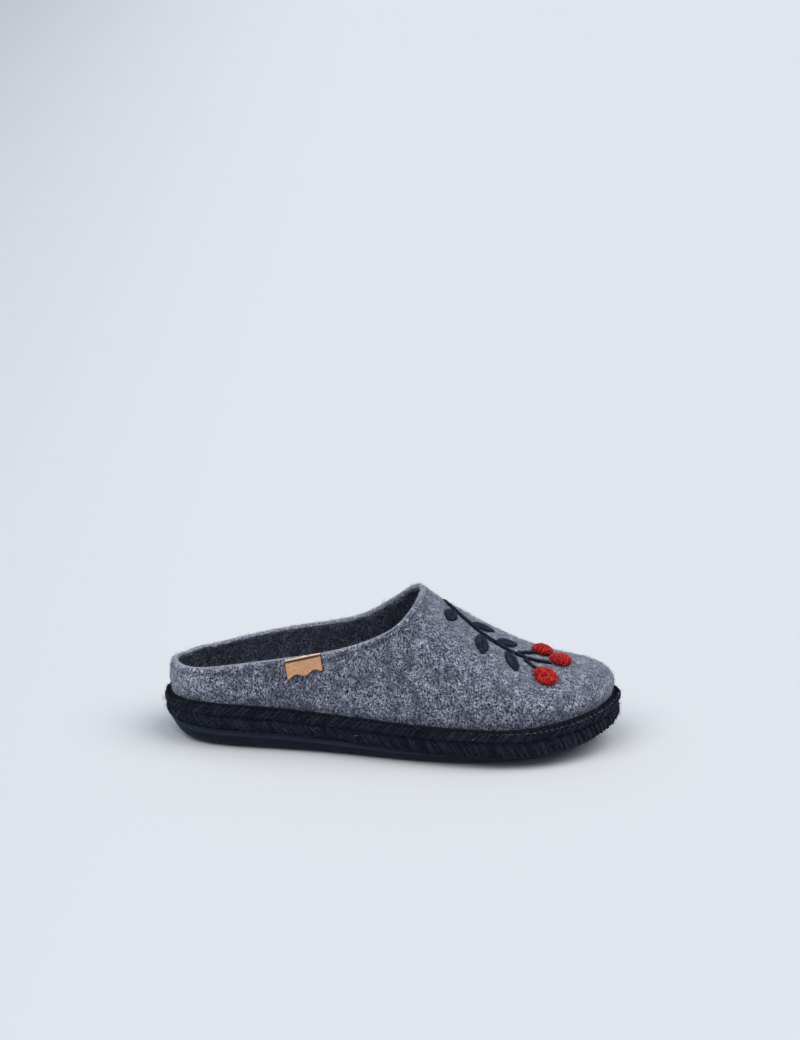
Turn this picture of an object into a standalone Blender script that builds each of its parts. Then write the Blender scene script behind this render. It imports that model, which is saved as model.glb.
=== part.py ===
"""House slipper for the right foot: a grey felt mule on a rubber sole with a plaited band.

X runs from heel to toe, +Y is the medial (inner) side, and the sole stands on Z = 0.
Sizes and tables are in millimetres, and MM turns them into Blender's metres.
A station is a distance from the back of the heel, and an inset is a distance inwards
from the plan outline over the band. "Ring" means once round the shoe: angle 0 is the back
of the heel, pi the tip of the toe, with the lateral side first.
"""

import math
from collections import namedtuple

import bmesh
import bpy
import numpy as np

MM = 0.001
GAP = 0.3
TINY = 1e-6
ANGLE_STEP = 1e-3
RISE_STEP = 2e-3
HALVINGS = 40
FINE_RING = 2401
SHARP_EDGE = math.radians(40.0)
QUARTER = math.pi / 2

# Driving dimensions of the shoe
LENGTH = 272.0
TOE_TIP_SIDE = 8.0
THROAT_STATION = 151.5
HEEL_AXIS = 34.0
TOE_APEX = 244.0
FELT_INSET = 5.0
FELT_WALL = 3.5
RIM_CROWN = 0.7
BULGE_SKEW = 0.6

# Plan outline over the band, as half widths each side of the line from heel to second toe
OutlineRow = namedtuple("OutlineRow", "station lateral medial")
OUTLINE = (
    OutlineRow(10, 23.5, 23.5),
    OutlineRow(25, 32.0, 31.5),
    OutlineRow(45, 35.5, 35.0),
    OutlineRow(70, 36.5, 35.0),
    OutlineRow(100, 38.5, 34.0),
    OutlineRow(130, 42.5, 35.5),
    OutlineRow(160, 46.8, 40.5),
    OutlineRow(185, 49.0, 46.5),
    OutlineRow(205, 49.0, 49.5),
    OutlineRow(225, 45.5, 49.0),
    OutlineRow(245, 35.5, 42.5),
    OutlineRow(260, 22.0, 32.0),
)

# Heights of the sole: its seat under the upper, its underside, and how far the edge tucks in
SoleRow = namedtuple("SoleRow", "station seat underside tuck")
SOLE = (
    SoleRow(0, 8.3, 7.0, 3.4),
    SoleRow(8, 9.0, 4.4, 2.2),
    SoleRow(17, 9.8, 1.6, 1.0),
    SoleRow(30, 10.3, 0.0, 0.2),
    SoleRow(60, 10.3, 0.0, 0.0),
    SoleRow(85, 9.4, 0.0, 0.0),
    SoleRow(115, 8.0, 0.0, 0.0),
    SoleRow(165, 6.7, 0.0, 0.0),
    SoleRow(206, 6.9, 0.0, 0.0),
    SoleRow(235, 9.2, 1.8, 0.3),
    SoleRow(252, 11.4, 5.0, 0.9),
    SoleRow(262, 13.0, 8.2, 1.6),
    SoleRow(272, 14.9, 12.2, 2.6),
)
ARCH_RISE = 2.0
ARCH_STATIONS = (90.0, 148.0)

# Side of the rubber, from the seat down: a sloping lip, a wall and a rounded bottom edge
RubberRow = namedtuple("RubberRow", "inset height_share")
RUBBER_SIDE = (
    RubberRow(4.4, 1.0),
    RubberRow(2.9, 0.66),
    RubberRow(3.3, 0.22),
    RubberRow(4.0, 0.07),
    RubberRow(5.4, 0.0),
)
SOLE_RUNGS = (0.2, 0.5, 0.8)

# Last: the crest of its sections from heel to toe, the squareness of their sides, how full
# their tops are, and how far the felt swells out over the band. Behind the throat the crest
# is the line that the instep would follow, and the collar cuts the sections below it.
LastRow = namedtuple("LastRow", "station crest side square crown bulge flare")
LAST = (
    LastRow(34, 95.0, 0.0, 2.5, 2.0, 0.4, 0.0),
    LastRow(70, 135.0, 0.0, 2.5, 2.0, 0.9, 1.2),
    LastRow(95, 140.0, 1.0, 2.6, 2.0, 1.0, 1.1),
    LastRow(112, 130.0, 2.0, 2.7, 2.0, 1.0, 0.6),
    LastRow(131, 107.0, 3.0, 2.8, 2.1, 1.0, 0.0),
    LastRow(144, 97.0, 4.0, 2.9, 2.2, 1.0, 0.0),
    LastRow(151.5, 91.8, 4.0, 2.9, 2.2, 1.0, 0.0),
    LastRow(170, 80.5, 4.5, 2.8, 2.2, 1.0, 0.0),
    LastRow(184, 71.6, 5.0, 2.7, 2.2, 1.1, 0.0),
    LastRow(199, 63.6, 5.5, 2.6, 2.2, 1.3, 0.0),
    LastRow(213, 56.6, 6.0, 2.6, 2.2, 1.6, 0.0),
    LastRow(223, 53.0, 6.0, 2.6, 2.2, 1.9, 0.0),
    LastRow(234, 50.6, 6.5, 2.6, 2.2, 2.3, 0.0),
    LastRow(244, 49.0, 7.0, 2.7, 2.2, 2.6, 0.0),
)

# Top edge of the felt behind the throat, a little higher on the medial side near the instep
CollarRow = namedtuple("CollarRow", "station lateral medial")
COLLAR = (
    CollarRow(5, 45.0, 45.0),
    CollarRow(20, 46.0, 46.0),
    CollarRow(45, 51.0, 51.2),
    CollarRow(70, 56.0, 57.0),
    CollarRow(95, 61.0, 62.4),
    CollarRow(112, 65.5, 66.5),
    CollarRow(122, 69.0, 71.0),
    CollarRow(132, 73.5, 77.0),
    CollarRow(140, 78.0, 82.6),
    CollarRow(146, 83.0, 87.2),
    CollarRow(149.5, 87.5, 90.0),
    CollarRow(151.5, 91.8, 91.8),
)

# Mesh density of the lasted pieces
HEEL_COLUMNS = 20
TOE_COLUMNS = 17
FELT_RISES = (0.0, 0.12, 0.25, 0.38, 0.5, 0.63, 0.75, 0.88, 1.0)

# Plaited band: two rows of slanting strands that meet in a groove at mid height
STRANDS = 180
STRAND_SWEEP = 4.6
BAND_HEIGHT = 17.5
BandRow = namedtuple("BandRow", "inset height sweep_share valley")
BAND = (
    BandRow(4.7, 0.3, 1.0, 0.0),
    BandRow(2.6, 0.3, 1.0, 0.2),
    BandRow(0.3, 4.6, 0.48, 0.75),
    BandRow(0.75, 8.8, 0.0, 0.2),
    BandRow(0.3, 13.0, 0.48, 0.75),
    BandRow(2.0, 16.7, 0.95, 0.5),
    BandRow(4.7, 17.3, 1.0, 0.0),
)

# Footbed: thickness in the middle and the height of its cupped edge
INSOLE_THICK = 5.0
INSOLE_CUP = 1.5
INSOLE_EDGE_ROUND = 1.2
INSOLE_RUNGS = (0.1, 0.3, 0.7, 0.9)

# Leather tag on the lateral wall, below the collar, with a wavy lower edge
TAG_STATIONS = (78.0, 101.0)
TAG_TOP = (2.0, 0.5)
TAG_DEPTH = 10.6
TAG_SLANT = 2.4
TAG_WAVE = 1.0
TAG_WAVES = 2
TAG_THICK = 1.2
TAG_COLUMNS = 16
TAG_ROWS = 4

# Yarn sprig on the vamp, in plan: a stem, leaves that leave it at a turn from its direction
# (positive to the medial side), and round looped berries, two of them on stalks of their own
StemRow = namedtuple("StemRow", "station side")
STEM = (
    StemRow(166, 10),
    StemRow(180, 1),
    StemRow(196, -6),
    StemRow(212, -8),
    StemRow(230, -3),
)
STEM_WIDTH = 3.0
STEM_HEIGHT = 1.8
STEM_STEPS = 26
STALK_STEPS = 6
LeafRow = namedtuple("LeafRow", "name station turn length width")
LEAVES = (
    LeafRow("sprig_leaf_1", 173, -62, 15, 7.5),
    LeafRow("sprig_leaf_2", 182, 62, 15, 7.5),
    LeafRow("sprig_leaf_3", 190, -60, 17, 8.0),
    LeafRow("sprig_leaf_4", 198, 60, 16, 8.0),
    LeafRow("sprig_leaf_5", 205, -60, 16, 7.5),
)
LEAF_HEIGHT = 1.6
LEAF_CLEAR = 0.8
LEAF_POINT = 0.3
LEAF_SEGMENTS = 14
BerryRow = namedtuple("BerryRow", "name station side radius")
BERRIES = (
    BerryRow("sprig_berry_1", 236.5, 2.0, 6.4),
    BerryRow("sprig_berry_2", 229, -21, 6.8),
    BerryRow("sprig_berry_3", 225, 11, 6.0),
)
StalkRow = namedtuple("StalkRow", "name stem_station berry")
STALKS = (
    StalkRow("sprig_stalk_1", 214, 1),
    StalkRow("sprig_stalk_2", 210, 2),
)
STALK_CLEAR = 1.0
BERRY_HEIGHT = 3.6
BERRY_SEGMENTS = 16
PAD_RINGS = (0.45, 0.8, 1.0)
PAD_EDGE = 0.92

# Surfaces: linear base colour and roughness
Finish = namedtuple("Finish", "colour roughness")
FELT_GREY = Finish((0.150, 0.160, 0.220), 0.95)
LINING_CHARCOAL = Finish((0.016, 0.018, 0.030), 0.95)
YARN_BLACK = Finish((0.011, 0.013, 0.021), 0.9)
YARN_RED = Finish((0.43, 0.028, 0.028), 0.9)
RUBBER_BLACK = Finish((0.012, 0.014, 0.022), 0.6)
LEATHER_TAN = Finish((0.37, 0.19, 0.11), 0.6)


def monotone(rows, column):
    """A smooth function of the station through one column of a table, flat where it is flat."""
    xs = np.array([row.station for row in rows], float)
    ys = np.array([getattr(row, column) for row in rows], float)
    slopes = np.diff(ys) / np.diff(xs)
    tangents = np.zeros(len(xs))
    for i in range(1, len(xs) - 1):
        before, after = slopes[i - 1], slopes[i]
        if before * after > 0.0:
            tangents[i] = 2.0 * before * after / (before + after)
    tangents[0] = slopes[0]
    tangents[-1] = slopes[-1]

    def value(station):
        x = min(max(station, xs[0]), xs[-1])
        i = int(min(max(np.searchsorted(xs, x) - 1, 0), len(xs) - 2))
        width = xs[i + 1] - xs[i]
        t = (x - xs[i]) / width
        return float(
            (2 * t**3 - 3 * t**2 + 1) * ys[i]
            + (t**3 - 2 * t**2 + t) * width * tangents[i]
            + (3 * t**2 - 2 * t**3) * ys[i + 1]
            + (t**3 - t**2) * width * tangents[i + 1]
        )

    return value


def ring_angle(station):
    """Angle on the lateral side whose station on the outline is this one."""
    return math.acos(1.0 - 2.0 * station / LENGTH)


def closed_side():
    """The outline's side position as a smooth function of the ring angle, closed at both ends."""
    knots = [(0.0, 0.0)]
    knots += [(ring_angle(row.station), -row.lateral) for row in OUTLINE]
    knots += [(math.pi, TOE_TIP_SIDE)]
    knots += [(2 * math.pi - ring_angle(row.station), row.medial) for row in reversed(OUTLINE)]
    count = len(knots)
    xs = np.array([knot[0] for knot in knots] + [2 * math.pi])
    ys = np.array([knot[1] for knot in knots] + [0.0])
    spans = np.diff(xs)
    # Second derivatives of a periodic cubic spline through the knots
    matrix = np.zeros((count, count))
    right = np.zeros(count)
    for i in range(count):
        before, after = spans[i - 1], spans[i]
        matrix[i, i - 1] += before / 6.0
        matrix[i, i] += (before + after) / 3.0
        matrix[i, (i + 1) % count] += after / 6.0
        right[i] = (ys[i + 1] - ys[i]) / after - (ys[i] - ys[i - 1 if i else count - 1]) / before
    bends = np.linalg.solve(matrix, right)
    bends = np.append(bends, bends[0])

    def value(angle):
        x = angle % (2 * math.pi)
        i = int(min(np.searchsorted(xs, x, side="right") - 1, count - 1))
        width = spans[i]
        a = (xs[i + 1] - x) / width
        b = 1.0 - a
        curve = ((a**3 - a) * bends[i] + (b**3 - b) * bends[i + 1]) * width**2 / 6.0
        return float(a * ys[i] + b * ys[i + 1] + curve)

    return value


side_of = closed_side()
seat = monotone(SOLE, "seat")
underside = monotone(SOLE, "underside")
edge_tuck = monotone(SOLE, "tuck")
crest = monotone(LAST, "crest")
crest_side = monotone(LAST, "side")
square = monotone(LAST, "square")
crown = monotone(LAST, "crown")
bulge = monotone(LAST, "bulge")
flare = monotone(LAST, "flare")
lateral_collar = monotone(COLLAR, "lateral")
medial_collar = monotone(COLLAR, "medial")


def on_outline(angle):
    return np.array([LENGTH / 2 * (1.0 - math.cos(angle)), side_of(angle)])


def outline(angle, inset=0.0):
    """Plan point on the outline moved inwards along its normal."""
    along = on_outline(angle + ANGLE_STEP) - on_outline(angle - ANGLE_STEP)
    along /= np.hypot(*along)
    inwards = np.array([-along[1], along[0]])
    return on_outline(angle) + inset * inwards


def bisect(function, low, high):
    """Where a function that changes sign between low and high is zero."""
    sign = function(low)
    for _ in range(HALVINGS):
        middle = (low + high) / 2.0
        if function(middle) * sign > 0.0:
            low = middle
        else:
            high = middle
    return (low + high) / 2.0


def angle_at(station, lateral):
    """Ring angle on one side whose point on the felt's foot line has this station."""
    tip = 0.0 if lateral else 2 * math.pi
    return bisect(lambda angle: outline(angle, FELT_INSET)[0] - station, tip, math.pi)


def ring_angles():
    """Columns round the shoe, in pairs across it, close together at the throat, heel and toe."""
    start = outline(0.0, FELT_INSET)[0]
    span = outline(math.pi, FELT_INSET)[0] - start
    throat = math.acos(1.0 - 2.0 * (THROAT_STATION - start) / span)
    turns = [throat * math.sin(QUARTER * i / HEEL_COLUMNS) for i in range(1, HEEL_COLUMNS)]
    turns += [throat + (math.pi - throat) * i / TOE_COLUMNS for i in range(TOE_COLUMNS)]
    stations = [start + span * (1.0 - math.cos(turn)) / 2.0 for turn in turns]
    lateral = [angle_at(station, True) for station in stations]
    medial = [angle_at(station, False) for station in reversed(stations)]
    return [0.0] + lateral + [math.pi] + medial


RING = ring_angles()
HALF_RING = len(RING) // 2


def partner(index):
    """The column across the shoe at the same place along it."""
    return (-index) % len(RING)


def in_plan(angle, inset, height):
    x, y = outline(angle, inset)
    return np.array([x, y, height])


# Felt surface

FeltColumn = namedtuple("FeltColumn", "foot top base crest sweep station")


def felt_column(angle):
    """One section of the last: from its foot on the band's top edge up to the collar or crest."""
    foot = outline(angle, FELT_INSET)
    station = min(max(foot[0], HEEL_AXIS), TOE_APEX)
    top = np.array([station, crest_side(station)])
    base = seat(foot[0]) + BAND_HEIGHT
    height = crest(station)
    sweep = QUARTER
    if foot[0] < THROAT_STATION - TINY:
        collar = lateral_collar if angle % (2 * math.pi) < math.pi else medial_collar
        share = (collar(foot[0]) - base) / (height - base)
        sweep = math.asin(min(share, 1.0) ** (crown(station) / 2.0))
    return FeltColumn(foot, top, base, height, sweep, station)


def on_felt(angle, rise):
    """Point of the felt's outer surface, rise 0 at the band's top edge and 1 at the top."""
    column = felt_column(angle)
    theta = column.sweep * max(rise, 0.0)
    reach = column.foot - column.top
    outwards = reach / np.hypot(*reach)
    swell = bulge(column.station) * math.sin(math.pi * (theta / QUARTER) ** BULGE_SKEW)
    swell += flare(column.station) * rise
    across = reach * max(math.cos(theta), 0.0) ** (2.0 / square(column.station))
    plan = column.top + across + swell * outwards
    share = math.sin(theta) ** (2.0 / crown(column.station))
    return np.array([plan[0], plan[1], column.base + (column.crest - column.base) * share])


def crest_normal(station):
    slope = (crest(station + 1.0) - crest(station - 1.0)) / 2.0
    normal = np.array([-slope, 0.0, 1.0])
    return normal / np.linalg.norm(normal)


def felt_normal(angle, rise):
    column = felt_column(angle)
    if rise > 1.0 - ANGLE_STEP and column.sweep > QUARTER - TINY:
        return crest_normal(column.top[0])
    along = on_felt(angle + RISE_STEP, rise) - on_felt(angle - RISE_STEP, rise)
    up = on_felt(angle, min(rise + RISE_STEP, 1.0)) - on_felt(angle, max(rise - RISE_STEP, 0.0))
    normal = np.cross(along, up)
    return normal / np.linalg.norm(normal)


def felt(angle, rise, lift=0.0):
    """Point on the felt raised along the surface normal, or sunk where lift is negative."""
    if rise <= 0.0:
        return in_plan(angle, FELT_INSET - lift, felt_column(angle).base)
    return on_felt(angle, rise) + lift * felt_normal(angle, rise)


def vamp(station, side, lift):
    """Point on the felt in front of the throat over a place in plan, raised by lift."""
    angle = angle_at(station, side < crest_side(station))
    rise = bisect(lambda r: on_felt(angle, r)[1] - side, 0.05, 1.0)
    return felt(angle, rise, lift)


# Mesh helpers


def shift_to_origin():
    sides = [side_of(angle) for angle in np.linspace(0.0, 2 * math.pi, FINE_RING)]
    return np.array([-LENGTH / 2, -(max(sides) + min(sides)) / 2, 0.0])


TO_ORIGIN = shift_to_origin()


def material(name, finish):
    made = bpy.data.materials.new(name)
    made.use_nodes = True
    shader = made.node_tree.nodes["Principled BSDF"]
    shader.inputs["Base Color"].default_value = (*finish.colour, 1.0)
    shader.inputs["Roughness"].default_value = finish.roughness
    shader.inputs["Metallic"].default_value = 0.0
    made.diffuse_color = (*finish.colour, 1.0)
    return made


def add_points(bm, points):
    return [bm.verts.new((point + TO_ORIGIN) * MM) for point in points]


def bridge(bm, first, second, closed=True):
    """Quads between two rows of vertices of equal length."""
    count = len(first)
    for i in range(count if closed else count - 1):
        j = (i + 1) % count
        bm.faces.new((first[i], first[j], second[j], second[i]))


def finish_piece(name, bm, surface):
    bmesh.ops.remove_doubles(bm, verts=bm.verts, dist=TINY)
    bmesh.ops.dissolve_degenerate(bm, edges=bm.edges, dist=TINY)
    bmesh.ops.recalc_face_normals(bm, faces=bm.faces)
    mesh = bpy.data.meshes.new(name)
    bm.to_mesh(mesh)
    bm.free()
    mesh.shade_smooth()
    mesh.set_sharp_from_angle(angle=SHARP_EDGE)
    mesh.materials.append(surface)
    piece = bpy.data.objects.new(name, mesh)
    PARTS.objects.link(piece)


def ladder(bm, loop, rungs, height):
    """Closes a ring with strips across the shoe; height gives each inner point's Z."""
    lines = [loop[: HALF_RING + 1]]
    opposite = [loop[partner(i)] for i in range(HALF_RING + 1)]
    for share in rungs:
        line = [loop[0]]
        for i in range(1, HALF_RING):
            a = np.array(loop[i].co) / MM - TO_ORIGIN
            b = np.array(opposite[i].co) / MM - TO_ORIGIN
            point = a + share * (b - a)
            point[2] = height(point[0], share)
            line += add_points(bm, [point])
        lines.append(line + [loop[HALF_RING]])
    lines.append(opposite)
    for first, second in zip(lines, lines[1:]):
        for i in range(HALF_RING):
            corners = (first[i], first[i + 1], second[i + 1], second[i])
            bm.faces.new(list(dict.fromkeys(corners)))


# Pieces


def smooth_step(value):
    t = min(max(value, 0.0), 1.0)
    return t * t * (3.0 - 2.0 * t)


def arch(station, share):
    """Rise of the underside at the waist, from nothing on the lateral edge to most on the medial."""
    start, end = ARCH_STATIONS
    middle = (start + end) / 2.0
    near = 1.0 - abs(station - middle) / (middle - start)
    return ARCH_RISE * smooth_step(near) * smooth_step(share)


def make_outsole():
    bm = bmesh.new()
    loops = []
    for row in RUBBER_SIDE:
        points = []
        for index, angle in enumerate(RING):
            point = in_plan(angle, row.inset, 0.0)
            low = underside(point[0])
            high = seat(point[0])
            tuck = edge_tuck(point[0]) * (1.0 - row.height_share)
            point = in_plan(angle, row.inset + tuck, 0.0)
            rise = arch(point[0], 1.0 if index > HALF_RING else 0.0) * (1.0 - row.height_share)
            point[2] = low + rise + (high - low) * row.height_share
            points.append(point)
        loops.append(add_points(bm, points))
    for upper_loop, lower_loop in zip(loops, loops[1:]):
        bridge(bm, upper_loop, lower_loop)
    ladder(bm, loops[0], (), None)
    ladder(bm, loops[-1], SOLE_RUNGS, lambda x, share: underside(x) + arch(x, share))
    finish_piece("outsole", bm, material("rubber_black", RUBBER_BLACK))


def arc_table():
    """Ring angles and the distance walked along the outline to each of them."""
    angles = np.linspace(0.0, 2 * math.pi, FINE_RING)
    points = np.array([on_outline(angle) for angle in angles])
    walked = np.concatenate([[0.0], np.cumsum(np.hypot(*np.diff(points, axis=0).T))])
    return angles, walked


def make_braid_band():
    """One ring whose columns lie alternately on a strand's back and in the valley beside it."""
    angles, walked = arc_table()
    around = walked[-1]
    columns = 2 * STRANDS
    bm = bmesh.new()
    loops = []
    for row in BAND:
        points = []
        for k in range(columns):
            distance = (around * k / columns + STRAND_SWEEP * row.sweep_share) % around
            angle = float(np.interp(distance, walked, angles))
            inset = row.inset + (row.valley if k % 2 else 0.0)
            point = in_plan(angle, inset, 0.0)
            point[2] = seat(point[0]) + row.height
            points.append(point)
        loops.append(add_points(bm, points))
    for first, second in zip(loops, loops[1:] + loops[:1]):
        bridge(bm, first, second)
    finish_piece("braid_band", bm, material("braid_yarn_black", YARN_BLACK))


def make_upper():
    """Felt shell: an outer and an inner surface that meet round the collar and at the foot."""
    bm = bmesh.new()
    shells = []
    for lift in (0.0, -FELT_WALL):
        feet = [in_plan(angle, FELT_INSET - lift, 0.0) for angle in RING]
        for point in feet:
            point[2] = seat(point[0]) + GAP
        rows = [add_points(bm, feet)]
        for rise in FELT_RISES:
            rows.append(add_points(bm, [felt(angle, rise, lift) for angle in RING]))
        shells.append(rows)
    outer, inner = shells
    for rows in shells:
        for first, second in zip(rows, rows[1:]):
            bridge(bm, first, second)
    bridge(bm, outer[0], inner[0])
    crown_row = {}
    for index, angle in enumerate(RING):
        if felt_column(angle).sweep < QUARTER - TINY:
            up = on_felt(angle, 1.0) - on_felt(angle, 1.0 - RISE_STEP)
            middle = felt(angle, 1.0, -FELT_WALL / 2.0)
            crown_row[index] = add_points(bm, [middle + RIM_CROWN * up / np.linalg.norm(up)])[0]
    for index in range(len(RING)):
        after = (index + 1) % len(RING)
        if index not in crown_row and after not in crown_row:
            continue
        for rim in (outer[-1], inner[-1]):
            corners = [rim[index], rim[after], crown_row.get(after), crown_row.get(index)]
            bm.faces.new([corner for corner in corners if corner])
    # The two halves of the rim meet at the throat, where the felt's edge crosses the crest
    throat = HEEL_COLUMNS
    for index, behind in ((throat, throat - 1), (partner(throat), partner(throat - 1))):
        bm.faces.new((outer[-1][index], crown_row[behind], inner[-1][index]))
    finish_piece("upper", bm, material("felt_grey", FELT_GREY))


def make_insole():
    inset = FELT_INSET + FELT_WALL + GAP
    bm = bmesh.new()

    def top(x, share):
        edge = abs(2.0 * share - 1.0)
        return seat(x) + INSOLE_THICK + INSOLE_CUP * edge**3

    def loop(extra_inset, height):
        points = [in_plan(angle, inset + extra_inset, 0.0) for angle in RING]
        for point in points:
            point[2] = height(point[0])
        return add_points(bm, points)

    foot = loop(0.0, lambda x: seat(x) + GAP)
    shoulder = loop(0.0, lambda x: top(x, 0.0) - INSOLE_EDGE_ROUND)
    edge = loop(INSOLE_EDGE_ROUND, lambda x: top(x, 0.0))
    bridge(bm, foot, shoulder)
    bridge(bm, shoulder, edge)
    ladder(bm, foot, (), None)
    ladder(bm, edge, INSOLE_RUNGS, top)
    finish_piece("insole", bm, material("insole_felt", LINING_CHARCOAL))


def pad(name, boundary, height, surface):
    """Low cushion on the felt: rings of a plan boundary shrunk to its middle, domed on top."""
    bm = bmesh.new()
    centre = sum(boundary) / len(boundary)
    layers = []
    for dome in (0.0, height):
        middle = add_points(bm, [vamp(*centre, GAP + dome)])[0]
        rings = []
        for share in PAD_RINGS:
            lift = GAP + dome * math.sqrt(1.0 - PAD_EDGE * share**2)
            points = [vamp(*(centre + share * (point - centre)), lift) for point in boundary]
            rings.append(add_points(bm, points))
        for i, first in enumerate(rings[0]):
            bm.faces.new((middle, first, rings[0][(i + 1) % len(boundary)]))
        for first, second in zip(rings, rings[1:]):
            bridge(bm, first, second)
        layers.append(rings[-1])
    bridge(bm, *layers)
    finish_piece(name, bm, surface)


stem_side = monotone(STEM, "side")


def on_stem(station):
    """Plan point on the stem's middle line, and the stem's direction there."""
    slope = stem_side(station + 0.5) - stem_side(station - 0.5)
    return np.array([station, stem_side(station)]), np.array([1.0, slope]) / math.hypot(1.0, slope)


def leaf_boundary(row):
    """Pointed oval that starts beside the stem and runs off at the leaf's turn."""
    start, direction = on_stem(row.station)
    turn = math.radians(row.turn)
    along = np.array([
        direction[0] * math.cos(turn) - direction[1] * math.sin(turn),
        direction[0] * math.sin(turn) + direction[1] * math.cos(turn),
    ])
    across = np.array([-along[1], along[0]])
    start = start + (STEM_WIDTH / 2 + LEAF_CLEAR) / abs(math.sin(turn)) * along
    points = []
    for i in range(LEAF_SEGMENTS):
        around = 2 * math.pi * i / LEAF_SEGMENTS
        length = row.length * (1.0 - math.cos(around)) / 2.0
        width = row.width / 2.0 * math.sin(around) * abs(math.sin(around)) ** LEAF_POINT
        points.append(start + length * along + width * across)
    return points


def berry_boundary(row):
    turns = [2 * math.pi * i / BERRY_SEGMENTS for i in range(BERRY_SEGMENTS)]
    centre = np.array([row.station, row.side])
    return [centre + row.radius * np.array([math.cos(t), math.sin(t)]) for t in turns]


def cord(name, middles, surface):
    """Yarn laid along a plan line on the vamp: a strip with a raised middle."""
    bm = bmesh.new()
    rails = [[], [], [], []]
    for i, middle in enumerate(middles):
        along = middles[min(i + 1, len(middles) - 1)] - middles[max(i - 1, 0)]
        across = np.array([-along[1], along[0]]) / np.hypot(*along)
        left = middle + across * STEM_WIDTH / 2.0
        right = middle - across * STEM_WIDTH / 2.0
        places = ((left, GAP), (middle, GAP + STEM_HEIGHT), (right, GAP), (middle, GAP))
        for rail, (place, lift) in zip(rails, places):
            rail += add_points(bm, [vamp(*place, lift)])
    for first, second in zip(rails, rails[1:] + rails[:1]):
        bridge(bm, first, second, closed=False)
    for end in (0, -1):
        bm.faces.new([rail[end] for rail in rails])
    finish_piece(name, bm, surface)


def stalk_line(row):
    """Straight run from beside the stem to the edge of the stalk's berry."""
    berry = BERRIES[row.berry]
    start, _ = on_stem(row.stem_station)
    centre = np.array([berry.station, berry.side])
    along = (centre - start) / np.hypot(*(centre - start))
    first = start + along * (STEM_WIDTH + STALK_CLEAR)
    last = centre - along * (berry.radius + STALK_CLEAR)
    return [first + (last - first) * i / STALK_STEPS for i in range(STALK_STEPS + 1)]


def make_sprig():
    yarn = material("sprig_yarn_black", YARN_BLACK)
    red = material("sprig_yarn_red", YARN_RED)
    stations = np.linspace(STEM[0].station, STEM[-1].station, STEM_STEPS + 1)
    cord("sprig_stem", [on_stem(station)[0] for station in stations], yarn)
    for row in STALKS:
        cord(row.name, stalk_line(row), yarn)
    for row in LEAVES:
        pad(row.name, leaf_boundary(row), LEAF_HEIGHT, yarn)
    for row in BERRIES:
        pad(row.name, berry_boundary(row), BERRY_HEIGHT, red)


def make_leather_tag():
    """Curved patch of the lateral wall's own surface, from the tag's top edge to its waves."""
    bm = bmesh.new()
    edges = []
    for lift in (GAP, GAP + TAG_THICK):
        rows = []
        for j in range(TAG_ROWS + 1):
            points = []
            for i in range(TAG_COLUMNS + 1):
                share = i / TAG_COLUMNS
                down = j / TAG_ROWS
                angle = angle_at(np.interp(share, (0, 1), TAG_STATIONS) + TAG_SLANT * down, True)
                wall = np.linalg.norm(on_felt(angle, 1.0) - on_felt(angle, 0.0))
                wave = TAG_WAVE * math.cos(2 * math.pi * TAG_WAVES * share)
                below = np.interp(share, (0, 1), TAG_TOP) + (TAG_DEPTH + wave) * down
                points.append(felt(angle, 1.0 - below / wall, lift))
            rows.append(add_points(bm, points))
        for first, second in zip(rows, rows[1:]):
            bridge(bm, first, second, closed=False)
        front = [row[-1] for row in rows[1:-1]]
        back = [row[0] for row in rows[1:-1]]
        edges.append(rows[0] + front + rows[-1][::-1] + back[::-1])
    bridge(bm, *edges)
    finish_piece("leather_tag", bm, material("leather_tan", LEATHER_TAN))


for leftover in list(bpy.data.objects):
    bpy.data.objects.remove(leftover, do_unlink=True)

PARTS = bpy.data.collections.new("house_slipper")
bpy.context.scene.collection.children.link(PARTS)

make_outsole()
make_insole()
make_upper()
make_braid_band()
make_leather_tag()
make_sprig()
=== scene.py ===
"""Looks of a felt house slipper for the right foot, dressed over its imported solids.

Lengths are in metres in the slipper's own frame: +X to the toe, +Y to the inner side, +Z up.
"""

import math
from contextlib import contextmanager

import bpy
import numpy as np
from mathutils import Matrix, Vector
from mathutils.bvhtree import BVHTree
from mathutils.kdtree import KDTree


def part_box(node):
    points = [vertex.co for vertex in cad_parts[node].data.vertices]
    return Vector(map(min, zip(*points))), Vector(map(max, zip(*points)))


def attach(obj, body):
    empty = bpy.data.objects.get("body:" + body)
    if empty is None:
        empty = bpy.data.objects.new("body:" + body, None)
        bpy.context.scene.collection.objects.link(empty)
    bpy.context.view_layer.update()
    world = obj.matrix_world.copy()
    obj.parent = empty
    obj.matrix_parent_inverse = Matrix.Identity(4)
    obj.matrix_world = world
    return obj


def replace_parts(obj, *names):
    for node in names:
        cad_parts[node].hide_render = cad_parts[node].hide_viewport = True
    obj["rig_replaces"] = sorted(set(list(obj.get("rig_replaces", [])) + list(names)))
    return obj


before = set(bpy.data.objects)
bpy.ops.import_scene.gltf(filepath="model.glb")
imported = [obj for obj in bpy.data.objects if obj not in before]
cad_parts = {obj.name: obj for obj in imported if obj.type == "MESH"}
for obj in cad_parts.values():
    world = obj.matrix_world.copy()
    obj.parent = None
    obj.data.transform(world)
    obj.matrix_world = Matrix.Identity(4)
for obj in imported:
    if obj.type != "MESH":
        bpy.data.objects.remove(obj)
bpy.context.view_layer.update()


# Studio: a pale seamless floor between two broad lights at the toe and the heel, and a weak fill.
# The camera looks down on the lateral side from a little in front of square.
VIEW_AZIMUTH = math.radians(6.7)
VIEW_ELEVATION = math.radians(17.7)
VIEW_DISTANCE = 1.6
VIEW_LENS = 93.46
SENSOR_WIDTH = 36.0
TARGET_HEIGHT = 0.045
FRAME_RIGHT = 0.0056
FRAME_UP = 0.0853
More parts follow.
